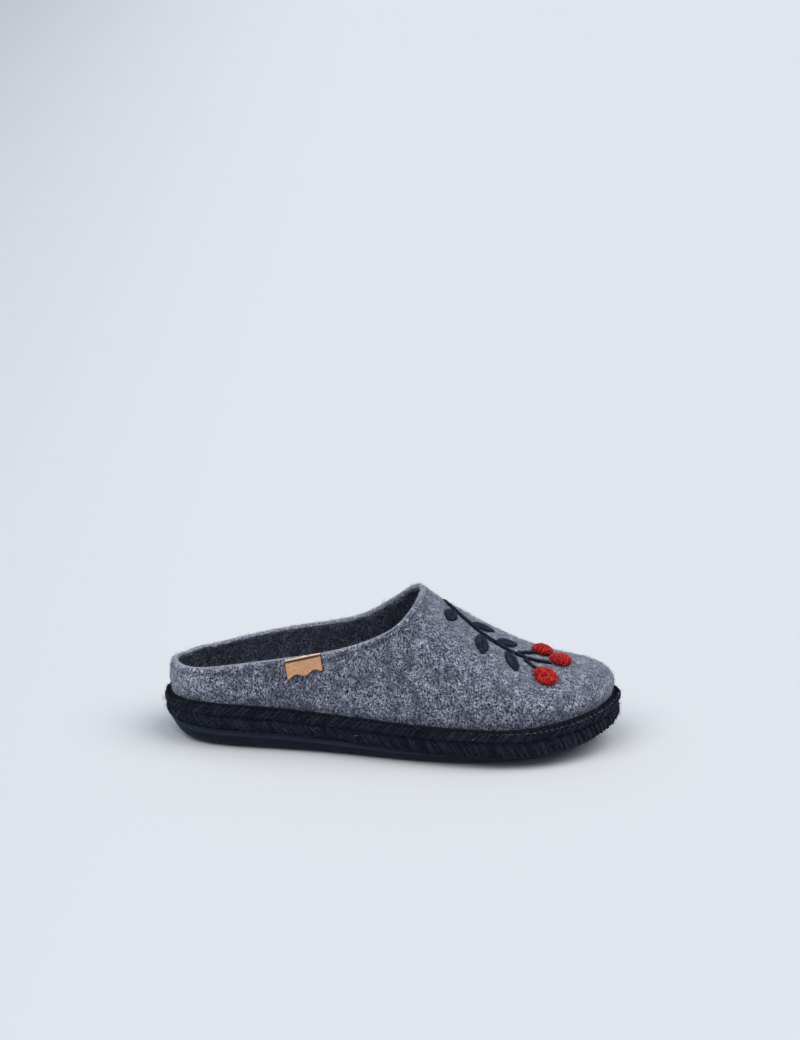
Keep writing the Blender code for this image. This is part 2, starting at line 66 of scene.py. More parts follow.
# Each lamp's strength, and its breadth and lean in degrees
LAMPS = ((1.70, 52, (2, 33, 0)), (1.38, 46, (27, -22, 0)))
LAMP_COLOUR = (1.0, 0.985, 0.965)
SKY_COLOUR = (0.62, 0.77, 1.0)
SKY_STRENGTH = 0.46
FLOOR_RADIUS = 9.0
FLOOR_COLOUR = (0.69, 0.69, 0.69)
FLOOR_PAINTED_SHADE = (0.40, 0.405, 0.42)
FLOOR_PAINTED_SHADE_SKEW = -0.12
FLOOR_PAINTED_SHADE_STATIONS = (0.05, 1.1)

to_camera = Vector((
    math.sin(VIEW_AZIMUTH) * math.cos(VIEW_ELEVATION),
    -math.cos(VIEW_AZIMUTH) * math.cos(VIEW_ELEVATION),
    math.sin(VIEW_ELEVATION),
))
camera_right = Vector((math.cos(VIEW_AZIMUTH), math.sin(VIEW_AZIMUTH), 0.0))
camera_up = to_camera.cross(camera_right)
aim = Vector((0.0, 0.0, TARGET_HEIGHT)) + camera_up * FRAME_UP + camera_right * FRAME_RIGHT
bpy.ops.object.camera_add(location=aim + to_camera * VIEW_DISTANCE)
camera = bpy.context.object
camera.rotation_euler = (-to_camera).to_track_quat("-Z", "Y").to_euler()
camera.data.lens = VIEW_LENS
camera.data.sensor_width = SENSOR_WIDTH
bpy.context.scene.camera = camera
bpy.context.scene.view_settings.view_transform = "Standard"

for strength, breadth, lean in LAMPS:
    bpy.ops.object.light_add(type="SUN", rotation=[math.radians(turn) for turn in lean])
    lamp = bpy.context.object
    lamp.data.energy = strength
    lamp.data.color = LAMP_COLOUR
    lamp.data.angle = math.radians(breadth)
sky = bpy.data.worlds.new("studio_fill")
sky.use_nodes = True
sky.node_tree.nodes["Background"].inputs["Color"].default_value = (*SKY_COLOUR, 1.0)
sky.node_tree.nodes["Background"].inputs["Strength"].default_value = SKY_STRENGTH
bpy.context.scene.world = sky


def surface(name, roughness, **sockets):
    """A new Principled material with uniform values set on its own sockets."""
    made = bpy.data.materials.new(name)
    made.use_nodes = True
    shader = made.node_tree.nodes["Principled BSDF"]
    shader.inputs["Roughness"].default_value = roughness
    for socket, value in sockets.items():
        shader.inputs[socket.replace("_", " ")].default_value = value
    return made


def add_node(tree, kind, inputs, **settings):
    """A shader node; an input that is a socket is linked, and any other is its value."""
    node = tree.nodes.new(kind)
    for setting, value in settings.items():
        setattr(node, setting, value)
    for socket, value in inputs.items():
        if isinstance(value, bpy.types.NodeSocket):
            tree.links.new(value, node.inputs[socket])
        else:
            node.inputs[socket].default_value = value
    return node


def object_place(made):
    return add_node(made.node_tree, "ShaderNodeTexCoord", {}).outputs["Object"]


def attribute(made, name):
    return add_node(made.node_tree, "ShaderNodeAttribute", {}, attribute_name=name).outputs["Fac"]


def noise(place, size, **inputs):
    """Noise whose features are about this many metres across."""
    settings = {"Vector": place, "Scale": 1.0 / size, **inputs}
    return add_node(place.id_data, "ShaderNodeTexNoise", settings).outputs["Fac"]


def maths(operation, first, second=0.0):
    inputs = {0: first, 1: second}
    return add_node(first.id_data, "ShaderNodeMath", inputs, operation=operation).outputs[0]


def times(value, factor, added=0.0):
    """The value times a factor, with a third value added."""
    inputs = {0: value, 1: factor, 2: added}
    return add_node(value.id_data, "ShaderNodeMath", inputs, operation="MULTIPLY_ADD").outputs[0]


def ramp(value, low, high):
    """The value stretched so that low becomes 0 and high becomes 1, smoothly and clamped."""
    inputs = {"Value": value, "From Min": low, "From Max": high}
    node = add_node(value.id_data, "ShaderNodeMapRange", inputs, interpolation_type="SMOOTHSTEP")
    return node.outputs[0]


def blend(share, first, second):
    """Colour between two colours or colour sockets."""
    first, second = (c if isinstance(c, bpy.types.NodeSocket) else (*c, 1.0) for c in (first, second))
    inputs = {0: share, 6: first, 7: second}
    return add_node(share.id_data, "ShaderNodeMix", inputs, data_type="RGBA").outputs[2]


def dress(made, colour=None, height=None, depth=0.0, roughness=None):
    """Links a colour, a bump of that depth and a roughness to a material's shader."""
    shader = made.node_tree.nodes["Principled BSDF"]
    links = made.node_tree.links
    if colour is not None:
        links.new(colour, shader.inputs["Base Color"])
    if roughness is not None:
        links.new(roughness, shader.inputs["Roughness"])
    if height is not None:
        bump = add_node(made.node_tree, "ShaderNodeBump", {"Height": height, "Distance": depth})
        links.new(bump.outputs["Normal"], shader.inputs["Normal"])


bpy.ops.mesh.primitive_circle_add(vertices=96, radius=FLOOR_RADIUS, fill_type="NGON")
floor = bpy.context.object
floor.name = "studio_floor"
paper = surface("studio_paper", 0.85)
floor_axes = add_node(paper.node_tree, "ShaderNodeSeparateXYZ", {"Vector": object_place(paper)}).outputs
# Painted shade: the paper darkens towards the far left, where the light falls off
far_left = maths("SUBTRACT", times(floor_axes["Y"], FLOOR_PAINTED_SHADE_SKEW), floor_axes["X"])
dress(paper, blend(ramp(far_left, *FLOOR_PAINTED_SHADE_STATIONS), FLOOR_COLOUR, FLOOR_PAINTED_SHADE))
floor.data.materials.append(paper)


# Outsole: one moulding of black rubber with a sloping lip under the plaited band, a bottom edge
# rounded well under and a shallow rippled tread. The upper is stuck down on its top.
RUBBER_BLACK = (0.0034, 0.0060, 0.0150)
RUBBER_WORN = (0.007, 0.011, 0.023)
RUBBER_LIP_HIGHLIGHT = (0.022, 0.030, 0.052)
RUBBER_MOTTLE = 0.012
RUBBER_PEBBLE = 0.0009
RUBBER_PEBBLE_DEPTH = 0.00025
RUBBER_ROUGH = (0.25, 0.38)
TREAD_PITCH = 0.0066
TREAD_DEPTH = 0.0006
TREAD_INSETS = (0.016, 0.020)
TREAD_FACING = -0.94
LIP_ANGLE = math.radians(24)
LIP_CREASE = 0.7
LIP_RAISE = 0.0016
LIP_INSETS = (0.0075, 0.0055)
LIP_FACING = (0.12, 0.30)
LIP_HIGHLIGHT_SHARE = 0.8
# How far the bottom edge is rounded in and up, at the heel and at the toe
EDGE_IN = (0.0080, 0.0135)
EDGE_UP = (0.0046, 0.0090)
EDGE_STATIONS = (0.0, 0.090)
EDGE_INSETS = (0.040, 0.010)
TOE_SPRING = 0.0038
TOE_SPRING_STATIONS = (0.030, 0.130)
RING_STEPS = 720
RING_HARMONICS = 40
RING_WINDOW = math.radians(2.2)


def only(piece):
    """Makes a piece the one selected and active object."""
    bpy.ops.object.select_all(action="DESELECT")
    piece.select_set(True)
    bpy.context.view_layer.objects.active = piece


@contextmanager
def editing(piece):
    """Edit mode on one piece, with all of it selected."""
    only(piece)
    bpy.ops.object.mode_set(mode="EDIT")
    bpy.ops.mesh.select_all(action="SELECT")
    yield
    bpy.ops.object.mode_set(mode="OBJECT")


def select_sharp(angle):
    """Selects only those edges of the edited piece that are sharper than an angle."""
    bpy.ops.mesh.select_mode(type="EDGE")
    bpy.ops.mesh.select_all(action="DESELECT")
    bpy.ops.mesh.edges_select_sharp(sharpness=angle)


def solid(node):
    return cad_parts[node].data


def copy_of(node, name):
    """A new piece with a copy of a solid's mesh, its loose triangles merged into quads."""
    piece = bpy.data.objects.new(name, solid(node).copy())
    bpy.context.collection.objects.link(piece)
    piece.data.materials.clear()
    only(piece)
    bpy.ops.mesh.customdata_custom_splitnormals_clear()
    with editing(piece):
        bpy.ops.mesh.remove_doubles(threshold=1e-6)
        bpy.ops.mesh.tris_convert_to_quads()
    bpy.ops.object.shade_smooth()
    return piece


def subdivide(piece, levels):
    """Rounds a piece with a Subdivision Surface and applies it."""
    only(piece)
    rounding = piece.modifiers.new("rounding", "SUBSURF")
    rounding.levels = levels
    rounding.render_levels = levels
    bpy.ops.object.modifier_apply(modifier=rounding.name)


def read(items, field, kind=float):
    """A row of three values for each point, face or triangle of a mesh."""
    values = np.empty(len(items) * 3, kind)
    items.foreach_get(field, values)
    return values.reshape(-1, 3)


def points_of(mesh):
    return read(mesh.vertices, "co")


def normals_of(mesh):
    return read(mesh.vertex_normals, "vector")


def move_points(mesh, points):
    mesh.vertices.foreach_set("co", points.ravel())
    mesh.update()


def store(mesh, name, values):
    mesh.attributes.new(name, "FLOAT", "POINT").data.foreach_set("value", values.astype(np.float32))


def ease(value, start, end):
    """Smooth step from 0 at the start to 1 at the end, which may be the lower of the two."""
    share = np.clip((value - start) / (end - start), 0.0, 1.0)
    return share * share * (3.0 - 2.0 * share)


def between(ends, share):
    return ends[0] + (ends[1] - ends[0]) * share


def settle(piece, slot, material, *nodes):
    """Gives a piece its material, puts it on the slipper and lets it stand for solids; its slot is not
    used.
    """
    piece.data.materials.append(material)
    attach(piece, "root")
    if nodes:
        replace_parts(piece, *nodes)


def unit(vectors):
    return vectors / np.linalg.norm(vectors, axis=-1, keepdims=True)


def walk(points, count, closed=False):
    """Points spaced evenly along a line."""
    line = np.vstack([points, points[:1]]) if closed else points
    walked = np.concatenate([[0.0], np.cumsum(np.linalg.norm(np.diff(line, axis=0), axis=1))])
    places = np.linspace(0.0, walked[-1], count, endpoint=not closed)
    return np.stack([np.interp(places, walked, line[:, axis]) for axis in range(3)], axis=1)


def tree_of(points):
    tree = KDTree(len(points))
    for index, point in enumerate(points):
        tree.insert(point, index)
    tree.balance()
    return tree


def smooth_ring(values):
    """A closed series of values without its finest ripples."""
    waves = np.fft.rfft(values)
    waves[RING_HARMONICS:] = 0.0
    return np.fft.irfft(waves, len(values))


band_points = points_of(solid("braid_band"))
band_middle = (band_points.max(0) + band_points.min(0))[:2] / 2
band_half = (band_points.max(0) - band_points.min(0))[:2] / 2
band_plan = (band_points[:, :2] - band_middle) / band_half
band_turns = np.arctan2(band_plan[:, 1], band_plan[:, 0])
band_reaches = np.hypot(band_plan[:, 0], band_plan[:, 1])
ring_turns = np.linspace(-math.pi, math.pi, RING_STEPS, endpoint=False)
ring_reach, ring_foot = [], []
for turn in ring_turns:
    near = np.abs((band_turns - turn + math.pi) % (2 * math.pi) - math.pi) < RING_WINDOW
    ring_reach.append(band_reaches[near].max())
    ring_foot.append(band_points[near, 2].min())
ring_reach = smooth_ring(ring_reach)
ring_plan = band_middle + band_half * ring_reach[:, None] * np.stack(
    [np.cos(ring_turns), np.sin(ring_turns)], axis=1)
ring = walk(np.column_stack([ring_plan, smooth_ring(ring_foot)]), RING_STEPS, closed=True)
ring_length = np.linalg.norm(np.diff(ring[:, :2], axis=0, append=ring[:1, :2]), axis=1).sum()
ring_ahead = np.roll(ring, -1, 0) - np.roll(ring, 1, 0)
ring_out = unit(np.stack([ring_ahead[:, 1], -ring_ahead[:, 0], np.zeros(RING_STEPS)], axis=1))
ring_tree = tree_of(ring * (1.0, 1.0, 0.0))


def on_band(distance, inset, height):
    """Points at a distance round the band, an inset from its outside and a height on it."""
    share = (distance / ring_length) % 1.0 * RING_STEPS
    steps = np.arange(RING_STEPS + 1)

    def at(values):
        closed = np.vstack([values, values[:1]])
        return np.stack([np.interp(share, steps, closed[:, axis]) for axis in range(3)], axis=-1)

    out = unit(at(ring_out))
    points = at(ring) - out * inset[..., None]
    points[..., 2] += height
    return points, out


def from_edge(points):
    """How far points lie inside the band's outline in plan, the way out there and the band's foot."""
    found = [ring_tree.find((x, y, 0.0))[1] for x, y, _ in points]
    return ((ring[found] - points) * ring_out[found]).sum(1), ring_out[found], ring[found, 2]


sole = copy_of("outsole", "rubber_outsole")
with editing(sole):
    select_sharp(LIP_ANGLE)
    bpy.ops.transform.edge_crease(value=LIP_CREASE)
subdivide(sole, 3)
sole_points = points_of(sole.data)
underneath = normals_of(sole.data)[:, 2] < TREAD_FACING
sole_inset, sole_out, sole_foot = from_edge(sole_points)
tallness = np.clip(sole_points[:, 2] / sole_foot, 0.0, 1.0)
to_toe = ease(sole_points[:, 0], *EDGE_STATIONS)
lowness = np.clip(1.0 - sole_points[:, 2] / between(EDGE_UP, to_toe), 0.0, 1.0)
tuck = between(EDGE_IN, to_toe) * (1.0 - np.sqrt(1.0 - lowness**2)) * ease(sole_inset, *EDGE_INSETS)
ripple = 0.5 - 0.5 * np.cos(2 * math.pi * sole_points[:, 0] / TREAD_PITCH)
sole_points[:, 2] += TREAD_DEPTH * ripple * ease(sole_inset, *TREAD_INSETS) * underneath
sole_points[:, 2] += TOE_SPRING * ease(sole_points[:, 0], *TOE_SPRING_STATIONS) * (1.0 - tallness)
sole_points[:, 2] += LIP_RAISE * tallness * ease(sole_inset, *LIP_INSETS)
sole_points -= sole_out * tuck[:, None]
move_points(sole.data, sole_points)

rubber = surface("rubber_black", 0.5, Specular_IOR_Level=0.16)
store(sole.data, "facing_up", normals_of(sole.data)[:, 2])
mottle = noise(object_place(rubber), RUBBER_MOTTLE, Detail=5.0, Roughness=0.6)
pebble = noise(object_place(rubber), RUBBER_PEBBLE, Detail=3.0, Roughness=0.6)
# Painted highlight: the rubber turns paler where it faces up, on the lip
lip_highlight = ramp(attribute(rubber, "facing_up"), *LIP_FACING)
rubber_colour = blend(ramp(mottle, 0.42, 0.75), RUBBER_BLACK, RUBBER_WORN)
rubber_colour = blend(times(lip_highlight, LIP_HIGHLIGHT_SHARE), rubber_colour, RUBBER_LIP_HIGHLIGHT)
dress(rubber, rubber_colour, pebble, RUBBER_PEBBLE_DEPTH, times(mottle, *RUBBER_ROUGH))
settle(sole, "rubber_black", rubber, "outsole")


# Footbed: a felt pad that lies loose-fitting on the sole inside the upper, cupped at its edge.
# Only its top shows, through the collar.
FOOTBED_DARK = (0.012, 0.014, 0.021)
FOOTBED_LIGHT = (0.050, 0.054, 0.070)
FOOTBED_TUFT = 0.0011
FOOTBED_TUFT_DEPTH = 0.0008
FOOTBED_CLUMP = 0.007

footbed = copy_of("insole", "felt_footbed")
subdivide(footbed, 2)
charcoal = surface("felt_charcoal", 0.95, Specular_IOR_Level=0.1, Sheen_Weight=0.05)
tuft = noise(object_place(charcoal), FOOTBED_TUFT, Detail=4.0, Roughness=0.7, Distortion=0.6)
clump = maths("SUBTRACT", noise(object_place(charcoal), FOOTBED_CLUMP, Detail=2.0), 0.5)
charcoal_share = times(clump, 0.5, ramp(tuft, 0.45, 0.72))
dress(charcoal, blend(charcoal_share, FOOTBED_DARK, FOOTBED_LIGHT), tuft, FOOTBED_TUFT_DEPTH)
settle(footbed, "insole_felt", charcoal, "insole")


# Upper: one thick shell of heather grey wool felt, pressed over the last, open at the collar,
# with a raw cut edge. A row of stitches runs round below the edge and holds the lining.
FELT_DARK = (0.006, 0.007, 0.015)
FELT_MIDDLE = (0.044, 0.046, 0.082)
FELT_LIGHT = (0.86, 0.87, 1.0)
FELT_CUT_HIGHLIGHT = (0.37, 0.38, 0.43)
FELT_INSIDE = (0.016, 0.018, 0.027)
FELT_SHEEN = 0.60
FELT_SHEEN_TINT = (0.82, 0.90, 1.0, 1.0)
FELT_RISE = 0.0010
# Flecks, pale patches and the layers of light fibres: how each layer lies and how far it covers
FLECK_SIZE = 0.0009
FLECK_RANGE = (0.36, 0.56)
PATCH_SIZE = 0.0060
PATCH_RANGE = (0.32, 0.68)
PATCH_LIT = (0.7, 0.3)
FIBRE_TURNS = ((0.0, 0.5, 0.3), (0.2, -0.7, -0.5), (0.4, 1.4, 0.9), (0.3, -1.3, 1.5))
FIBRE_COVER = (0.92, 0.92, 0.85, 0.85)
FIBRE_LENGTH = 3.6
FIBRE_WIDTH = 0.00066
FIBRE_RANGE = (0.58, 0.66)
FIBRE_RISE = 0.3
FIBRE_DRIFT = 1.0 / 420.0
FIBRE_SWIRL = 0.0025
# Where the foot space's middle line runs, and the lowest that the collar's edge comes
AXIS_HEIGHT = 0.030
AXIS_ENDS = (-0.100, 0.104)
RIM_LOWEST = 0.040
# The raw edge, pale with a painted highlight, the trough of the stitches below it and where the inside
# turns dark
CUT_EDGE = 0.0030
CUT_HIGHLIGHT_INSIDE = 0.4
CUT_HIGHLIGHT_PALER = 0.30
CUT_HIGHLIGHT_COVER = 0.5
STITCH_BELOW = 0.0046
STITCH_TROUGH = 0.0009
STITCH_TROUGH_DEPTH = 0.7
STITCH_TROUGH_SHADE = 0.5
INSIDE_BELOW = (0.0039, 0.0054)
INSIDE_STATIONS = (-0.012, 0.004)
# Painted light on the felt's pale fibres: at the middle, more at heel and toe, painted shade at the band
PAINTED_LIGHT_MIDDLE = 0.80
PAINTED_LIGHT_HEEL = 0.72
PAINTED_LIGHT_HEEL_STATIONS = (-0.055, -0.125)
PAINTED_LIGHT_TOE = 0.14
PAINTED_LIGHT_TOE_STATIONS = (0.070, 0.120)
BAND_PAINTED_SHADE = 0.55
BAND_PAINTED_SHADE_REACH = 0.008
# Soft dents and swells of worn felt: where each lies, how far it reaches and how far it moves out
WEAR = (
    ((0.030, -0.040, 0.052), (0.020, 0.020, 0.012), -0.0010),
    ((0.072, -0.036, 0.046), (0.024, 0.020, 0.010), 0.0009),
    ((-0.010, -0.036, 0.050), (0.014, 0.020, 0.016), 0.0008),
    ((-0.070, -0.034, 0.036), (0.030, 0.020, 0.008), -0.0007),
    ((0.098, 0.004, 0.047), (0.012, 0.024, 0.010), -0.0008),
    ((0.052, 0.040, 0.050), (0.022, 0.020, 0.012), -0.0010),
    ((-0.020, 0.034, 0.046), (0.026, 0.020, 0.012), 0.0008),
    ((-0.130, 0.000, 0.038), (0.020, 0.026, 0.013), 0.0018),
    ((0.034, 0.000, 0.082), (0.016, 0.020, 0.014), 0.0003),
)
# The throat's lateral corner, pushed to the toe
BLUNT_MIDDLE = (0.010, -0.011, 0.080)
BLUNT_REACH = (0.010, 0.012, 0.012)
BLUNT_PUSH = 0.0026
# How far the medial collar sags at stations along the slipper
SAG_STATIONS = (-0.128, -0.112, -0.100, -0.060, -0.040, -0.020, -0.008, 0.002, 0.012)
SAG_DROPS = (0.0008, 0.0025, 0.0023, 0.0021, 0.0024, 0.0022, 0.0015, 0.0012, 0.0004)
SAG_ACROSS = (0.0, 0.022)
SAG_REACH = 0.024
# How far the throat's edge rises and leans to the toe at places across the slipper
THROAT_ACROSS = (
    -0.022, -0.0165, -0.0115, -0.005, 0.0025, 0.008, 0.0116, 0.0155, 0.0184, 0.0206, 0.0228, 0.025)
THROAT_RISE = (0.0, 0.0, 0.0, 0.0001, 0.0005, 0.0007, 0.0007, 0.0009, 0.0013, 0.0016, 0.0012, 0.0006)
THROAT_LEAN = (0.0, 0.0005, 0.0010, 0.0016, 0.0023, 0.0024, 0.0022, 0.0018, 0.0013, 0.0007, 0.0002, 0.0)
THROAT_STATIONS = (-0.014, -0.002)
# How far the heel's edge dips at places across the slipper
HEEL_ACROSS = (-0.024, -0.018, -0.010, 0.0, 0.006, 0.010, 0.014, 0.0175, 0.0205, 0.024)
HEEL_DIP = (0.0, 0.0006, 0.0011, 0.0015, 0.0024, 0.0031, 0.0031, 0.0021, 0.0008, 0.0)
HEEL_STATIONS = (-0.104, -0.114)
RIM_REACH = 0.020


def to_axis(points):
    """Vectors from points to the middle line of the foot space."""
    axis = points.copy()
    axis[:, 0] = np.clip(points[:, 0], *AXIS_ENDS)
    axis[:, 1] = 0.0
    axis[:, 2] = AXIS_HEIGHT
    return axis - points


def rim_line(mesh):
    """Points along the collar's edge in order, and which faces are on the inside of it."""
    inner = (read(mesh.polygons, "normal") * to_axis(read(mesh.polygons, "center"))).sum(1) > 0
    sides = {}
    for polygon in mesh.polygons:
        for key in polygon.edge_keys:
            sides.setdefault(key, []).append(inner[polygon.index])
    neighbours = {}
    for (first, second), found in sides.items():
        if len(set(found)) == 2 and mesh.vertices[first].co.z > RIM_LOWEST:
            neighbours.setdefault(first, []).append(second)
            neighbours.setdefault(second, []).append(first)
    start = min(neighbours, key=lambda index: mesh.vertices[index].co.x)
    order = [start]
    while True:
        ahead = [n for n in neighbours[order[-1]] if n not in order[-2:]]
        if not ahead or ahead[0] == start:
            break
        order.append(ahead[0])
    return np.array([mesh.vertices[index].co for index in order]), inner


def below_rim(points):
    """Distance of each point from the collar's edge."""
    return np.array([rim_tree.find(point)[2] for point in points])


def swell(points, middle, reach):
    """Shares from 1 at the middle of a swell to nothing outside its reach."""
    return np.exp(-(((points - np.array(middle)) / np.array(reach)) ** 2).sum(1))


def face_tree(mesh, chosen=None):
    """Search tree of a mesh's faces, or of the chosen ones."""
    faces = [list(p.vertices) for p in mesh.polygons if chosen is None or chosen[p.index]]
    return BVHTree.FromPolygons(points_of(mesh).tolist(), faces)


felt = copy_of("upper", "felt_upper")
subdivide(felt, 2)
felt_points = points_of(felt.data)
felt_normals = normals_of(felt.data)
felt_outward = felt_normals * -np.sign((felt_normals * to_axis(felt_points)).sum(1))[:, None]
rim_tree = tree_of(rim_line(felt.data)[0])
felt_depth = below_rim(felt_points)
sag = np.interp(felt_points[:, 0], SAG_STATIONS, SAG_DROPS)
sag *= ease(felt_points[:, 1], *SAG_ACROSS) * ease(felt_depth, SAG_REACH, 0.0)
blunt = BLUNT_PUSH * swell(felt_points, BLUNT_MIDDLE, BLUNT_REACH)
for middle, reach, lift in WEAR:
    felt_points += lift * swell(felt_points, middle, reach)[:, None] * felt_outward
at_rim = ease(felt_depth, RIM_REACH, 0.0)
at_heel = at_rim * ease(felt_points[:, 0], *HEEL_STATIONS)
at_throat = at_rim * ease(felt_points[:, 0], *THROAT_STATIONS)
sag += at_heel * np.interp(felt_points[:, 1], HEEL_ACROSS, HEEL_DIP)
felt_points[:, 2] += at_throat * np.interp(felt_points[:, 1], THROAT_ACROSS, THROAT_RISE) - sag
felt_points[:, 0] += at_throat * np.interp(felt_points[:, 1], THROAT_ACROSS, THROAT_LEAN) + blunt
move_points(felt.data, felt_points)

felt_points = points_of(felt.data)
felt_x = felt_points[:, 0]
rim, felt_inner = rim_line(felt.data)
rim_tree = tree_of(rim)
felt_depth = below_rim(felt_points)
felt_inside = np.zeros(len(felt_points))
for polygon in felt.data.polygons:
    if felt_inner[polygon.index]:
        felt_inside[list(polygon.vertices)] = 1.0
band_tree = face_tree(solid("braid_band"))
to_band = np.array([band_tree.find_nearest(point)[3] for point in felt_points])
# Painted light and shade: the pale fibres show more at the heel and toe, and less just above the band
painted_light_share = PAINTED_LIGHT_MIDDLE + PAINTED_LIGHT_HEEL * ease(felt_x, *PAINTED_LIGHT_HEEL_STATIONS)
painted_light_share += PAINTED_LIGHT_TOE * ease(felt_x, *PAINTED_LIGHT_TOE_STATIONS)
# The cut edge is paler felt with a painted highlight on it, weaker on the inside faces, which get less
# light
cut_edge_highlight = ease(felt_depth, CUT_EDGE, 0.5 * CUT_EDGE) * (1.0 - CUT_HIGHLIGHT_INSIDE * felt_inside)
dark_from = between(INSIDE_BELOW, ease(felt_x, *INSIDE_STATIONS))
store(felt.data, "painted_light_share", painted_light_share * (1.0 - BAND_PAINTED_SHADE * ease(to_band, BAND_PAINTED_SHADE_REACH, 0.0)))
store(felt.data, "below_rim", felt_depth)
store(felt.data, "cut_edge_highlight", cut_edge_highlight)
store(felt.data, "inside", felt_inside * (felt_depth > dark_from))


def heather(name, dark, middle, light, sheen, edged=False):
    """Wool felt of light and dark curled fibres; edged, it takes painted light and shade and a pale cut
    edge with a painted highlight.
    """
    made = surface(
        name, 0.95, Specular_IOR_Level=0.1, Sheen_Weight=sheen, Sheen_Roughness=0.4,
        Sheen_Tint=FELT_SHEEN_TINT)
    place = object_place(made)
    drift = noise(place, FIBRE_DRIFT, Detail=2.0).node.outputs["Color"]
    centred = add_node(
        made.node_tree, "ShaderNodeVectorMath", {0: drift, 1: (0.5,) * 3},
        operation="SUBTRACT").outputs[0]
    swirl = add_node(
        made.node_tree, "ShaderNodeVectorMath", {0: centred, 1: (FIBRE_SWIRL,) * 3, 2: place},
        operation="MULTIPLY_ADD").outputs[0]
    fleck = noise(swirl, FLECK_SIZE, Detail=2.0, Roughness=0.6)
    lit = times(ramp(noise(place, PATCH_SIZE, Detail=2.0), *PATCH_RANGE), *PATCH_LIT)
    if edged:
        cut = times(attribute(made, "cut_edge_highlight"), CUT_HIGHLIGHT_COVER)
        middle = blend(times(attribute(made, "cut_edge_highlight"), CUT_HIGHLIGHT_PALER), middle, light)
        lit = times(lit, attribute(made, "painted_light_share"), cut)
    colour = blend(ramp(fleck, *FLECK_RANGE), dark, middle)
    height = fleck
    for turn, cover in zip(FIBRE_TURNS, FIBRE_COVER):
        laid = add_node(
            made.node_tree, "ShaderNodeMapping",
            {"Vector": swirl, "Rotation": turn, "Scale": (FIBRE_LENGTH, 1.0, 1.0)},
            vector_type="TEXTURE").outputs[0]
        fibre = times(ramp(noise(laid, FIBRE_WIDTH, Detail=1.0), *FIBRE_RANGE), lit)
        colour = blend(times(fibre, cover), colour, light)
        height = times(fibre, FIBRE_RISE, height)
    if edged:
        # Pale cut edge: the felt's own paler edge and a painted highlight
        colour = blend(cut, colour, FELT_CUT_HIGHLIGHT)
    return made, colour, height


def close_to(value, middle, far, close=0.0):
    """1 where a value is close to the middle one, fading to 0 where it is far from it."""
    return ramp(maths("ABSOLUTE", maths("SUBTRACT", value, middle)), far, close)


felt_grey, felt_colour, felt_height = heather(
    "felt_grey", FELT_DARK, FELT_MIDDLE, FELT_LIGHT, FELT_SHEEN, True)
trough = close_to(attribute(felt_grey, "below_rim"), STITCH_BELOW, STITCH_TROUGH)
felt_height = times(trough, -STITCH_TROUGH_DEPTH, felt_height)
felt_colour = blend(times(trough, STITCH_TROUGH_SHADE), felt_colour, FELT_DARK)
felt_colour = blend(attribute(felt_grey, "inside"), felt_colour, FELT_INSIDE)
dress(felt_grey, felt_colour, felt_height, FELT_RISE)
settle(felt, "felt_grey", felt_grey, "upper")


# Lining: a thinner charcoal felt stuck to the inside of the upper. It stops a little below the
# collar's edge, so that the grey edge shows all round, and its foot stops at the footbed.
LINING_DARK = (0.013, 0.014, 0.022)
LINING_MIDDLE = (0.037, 0.039, 0.058)
LINING_LIGHT = (0.200, 0.212, 0.270)
LINING_SHEEN = 0.08
LINING_THICK = 0.0010
LINING_BELOW = 0.0021
LINING_TRIM = 0.25 * LINING_BELOW
LINING_TOP = 4.5 * LINING_BELOW
# How much lower its edge lies at the throat, and how much higher at the heel
LINING_THROAT = 0.0012
LINING_THROAT_STATIONS = (-0.008, 0.010)
LINING_HEEL = 0.0014
LINING_HEEL_STATIONS = (-0.106, -0.116)
LINING_HEEL_ACROSS = (0.0, 0.010)
FOOTBED_CLEAR = 0.0004
FOOTBED_STEPS = 60
FOOTBED_WINDOW = 0.004

only(felt)
bpy.ops.object.duplicate()
lining = bpy.context.object
lining.name = "charcoal_lining"
lining.data.materials.clear()
del lining["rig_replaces"]
bed_points = points_of(footbed.data)
bed_stations = np.linspace(bed_points[:, 0].min(), bed_points[:, 0].max(), FOOTBED_STEPS)
bed_tops = [bed_points[np.abs(bed_points[:, 0] - x) < FOOTBED_WINDOW, 2].max() for x in bed_stations]
above_bed = felt_points[:, 2] - np.interp(felt_x, bed_stations, bed_tops)
for polygon in lining.data.polygons:
    corners = list(polygon.vertices)
    kept = felt_inner[polygon.index] and felt_depth[corners].min() > LINING_TRIM
    polygon.select = not (kept and above_bed[corners].max() > FOOTBED_CLEAR)
bpy.ops.object.mode_set(mode="EDIT")
bpy.ops.mesh.select_mode(type="FACE")
bpy.ops.mesh.delete(type="FACE")
bpy.ops.mesh.select_mode(type="VERT")
bpy.ops.mesh.select_all(action="DESELECT")
bpy.ops.mesh.select_non_manifold()
bpy.ops.object.mode_set(mode="OBJECT")
lining_points = points_of(lining.data)
for vertex in lining.data.vertices:
    if not vertex.select:
        continue
    x, y, z = vertex.co
    nearest, _, distance = rim_tree.find(vertex.co)
    if distance < LINING_TOP:
        wanted = LINING_BELOW + LINING_THROAT * ease(x, *LINING_THROAT_STATIONS)
        wanted -= LINING_HEEL * ease(x, *LINING_HEEL_STATIONS) * ease(y, *LINING_HEEL_ACROSS)
        lining_points[vertex.index] += (vertex.co - nearest) * float(wanted / distance - 1.0)
    else:
        bed_top = np.interp(x, bed_stations, bed_tops) + FOOTBED_CLEAR
        lining_points[vertex.index, 2] = max(bed_top, z)
move_points(lining.data, lining_points)
thickness = lining.modifiers.new("thickness", "SOLIDIFY")
thickness.thickness = LINING_THICK
thickness.offset = 1.0
bpy.ops.object.modifier_apply(modifier=thickness.name)
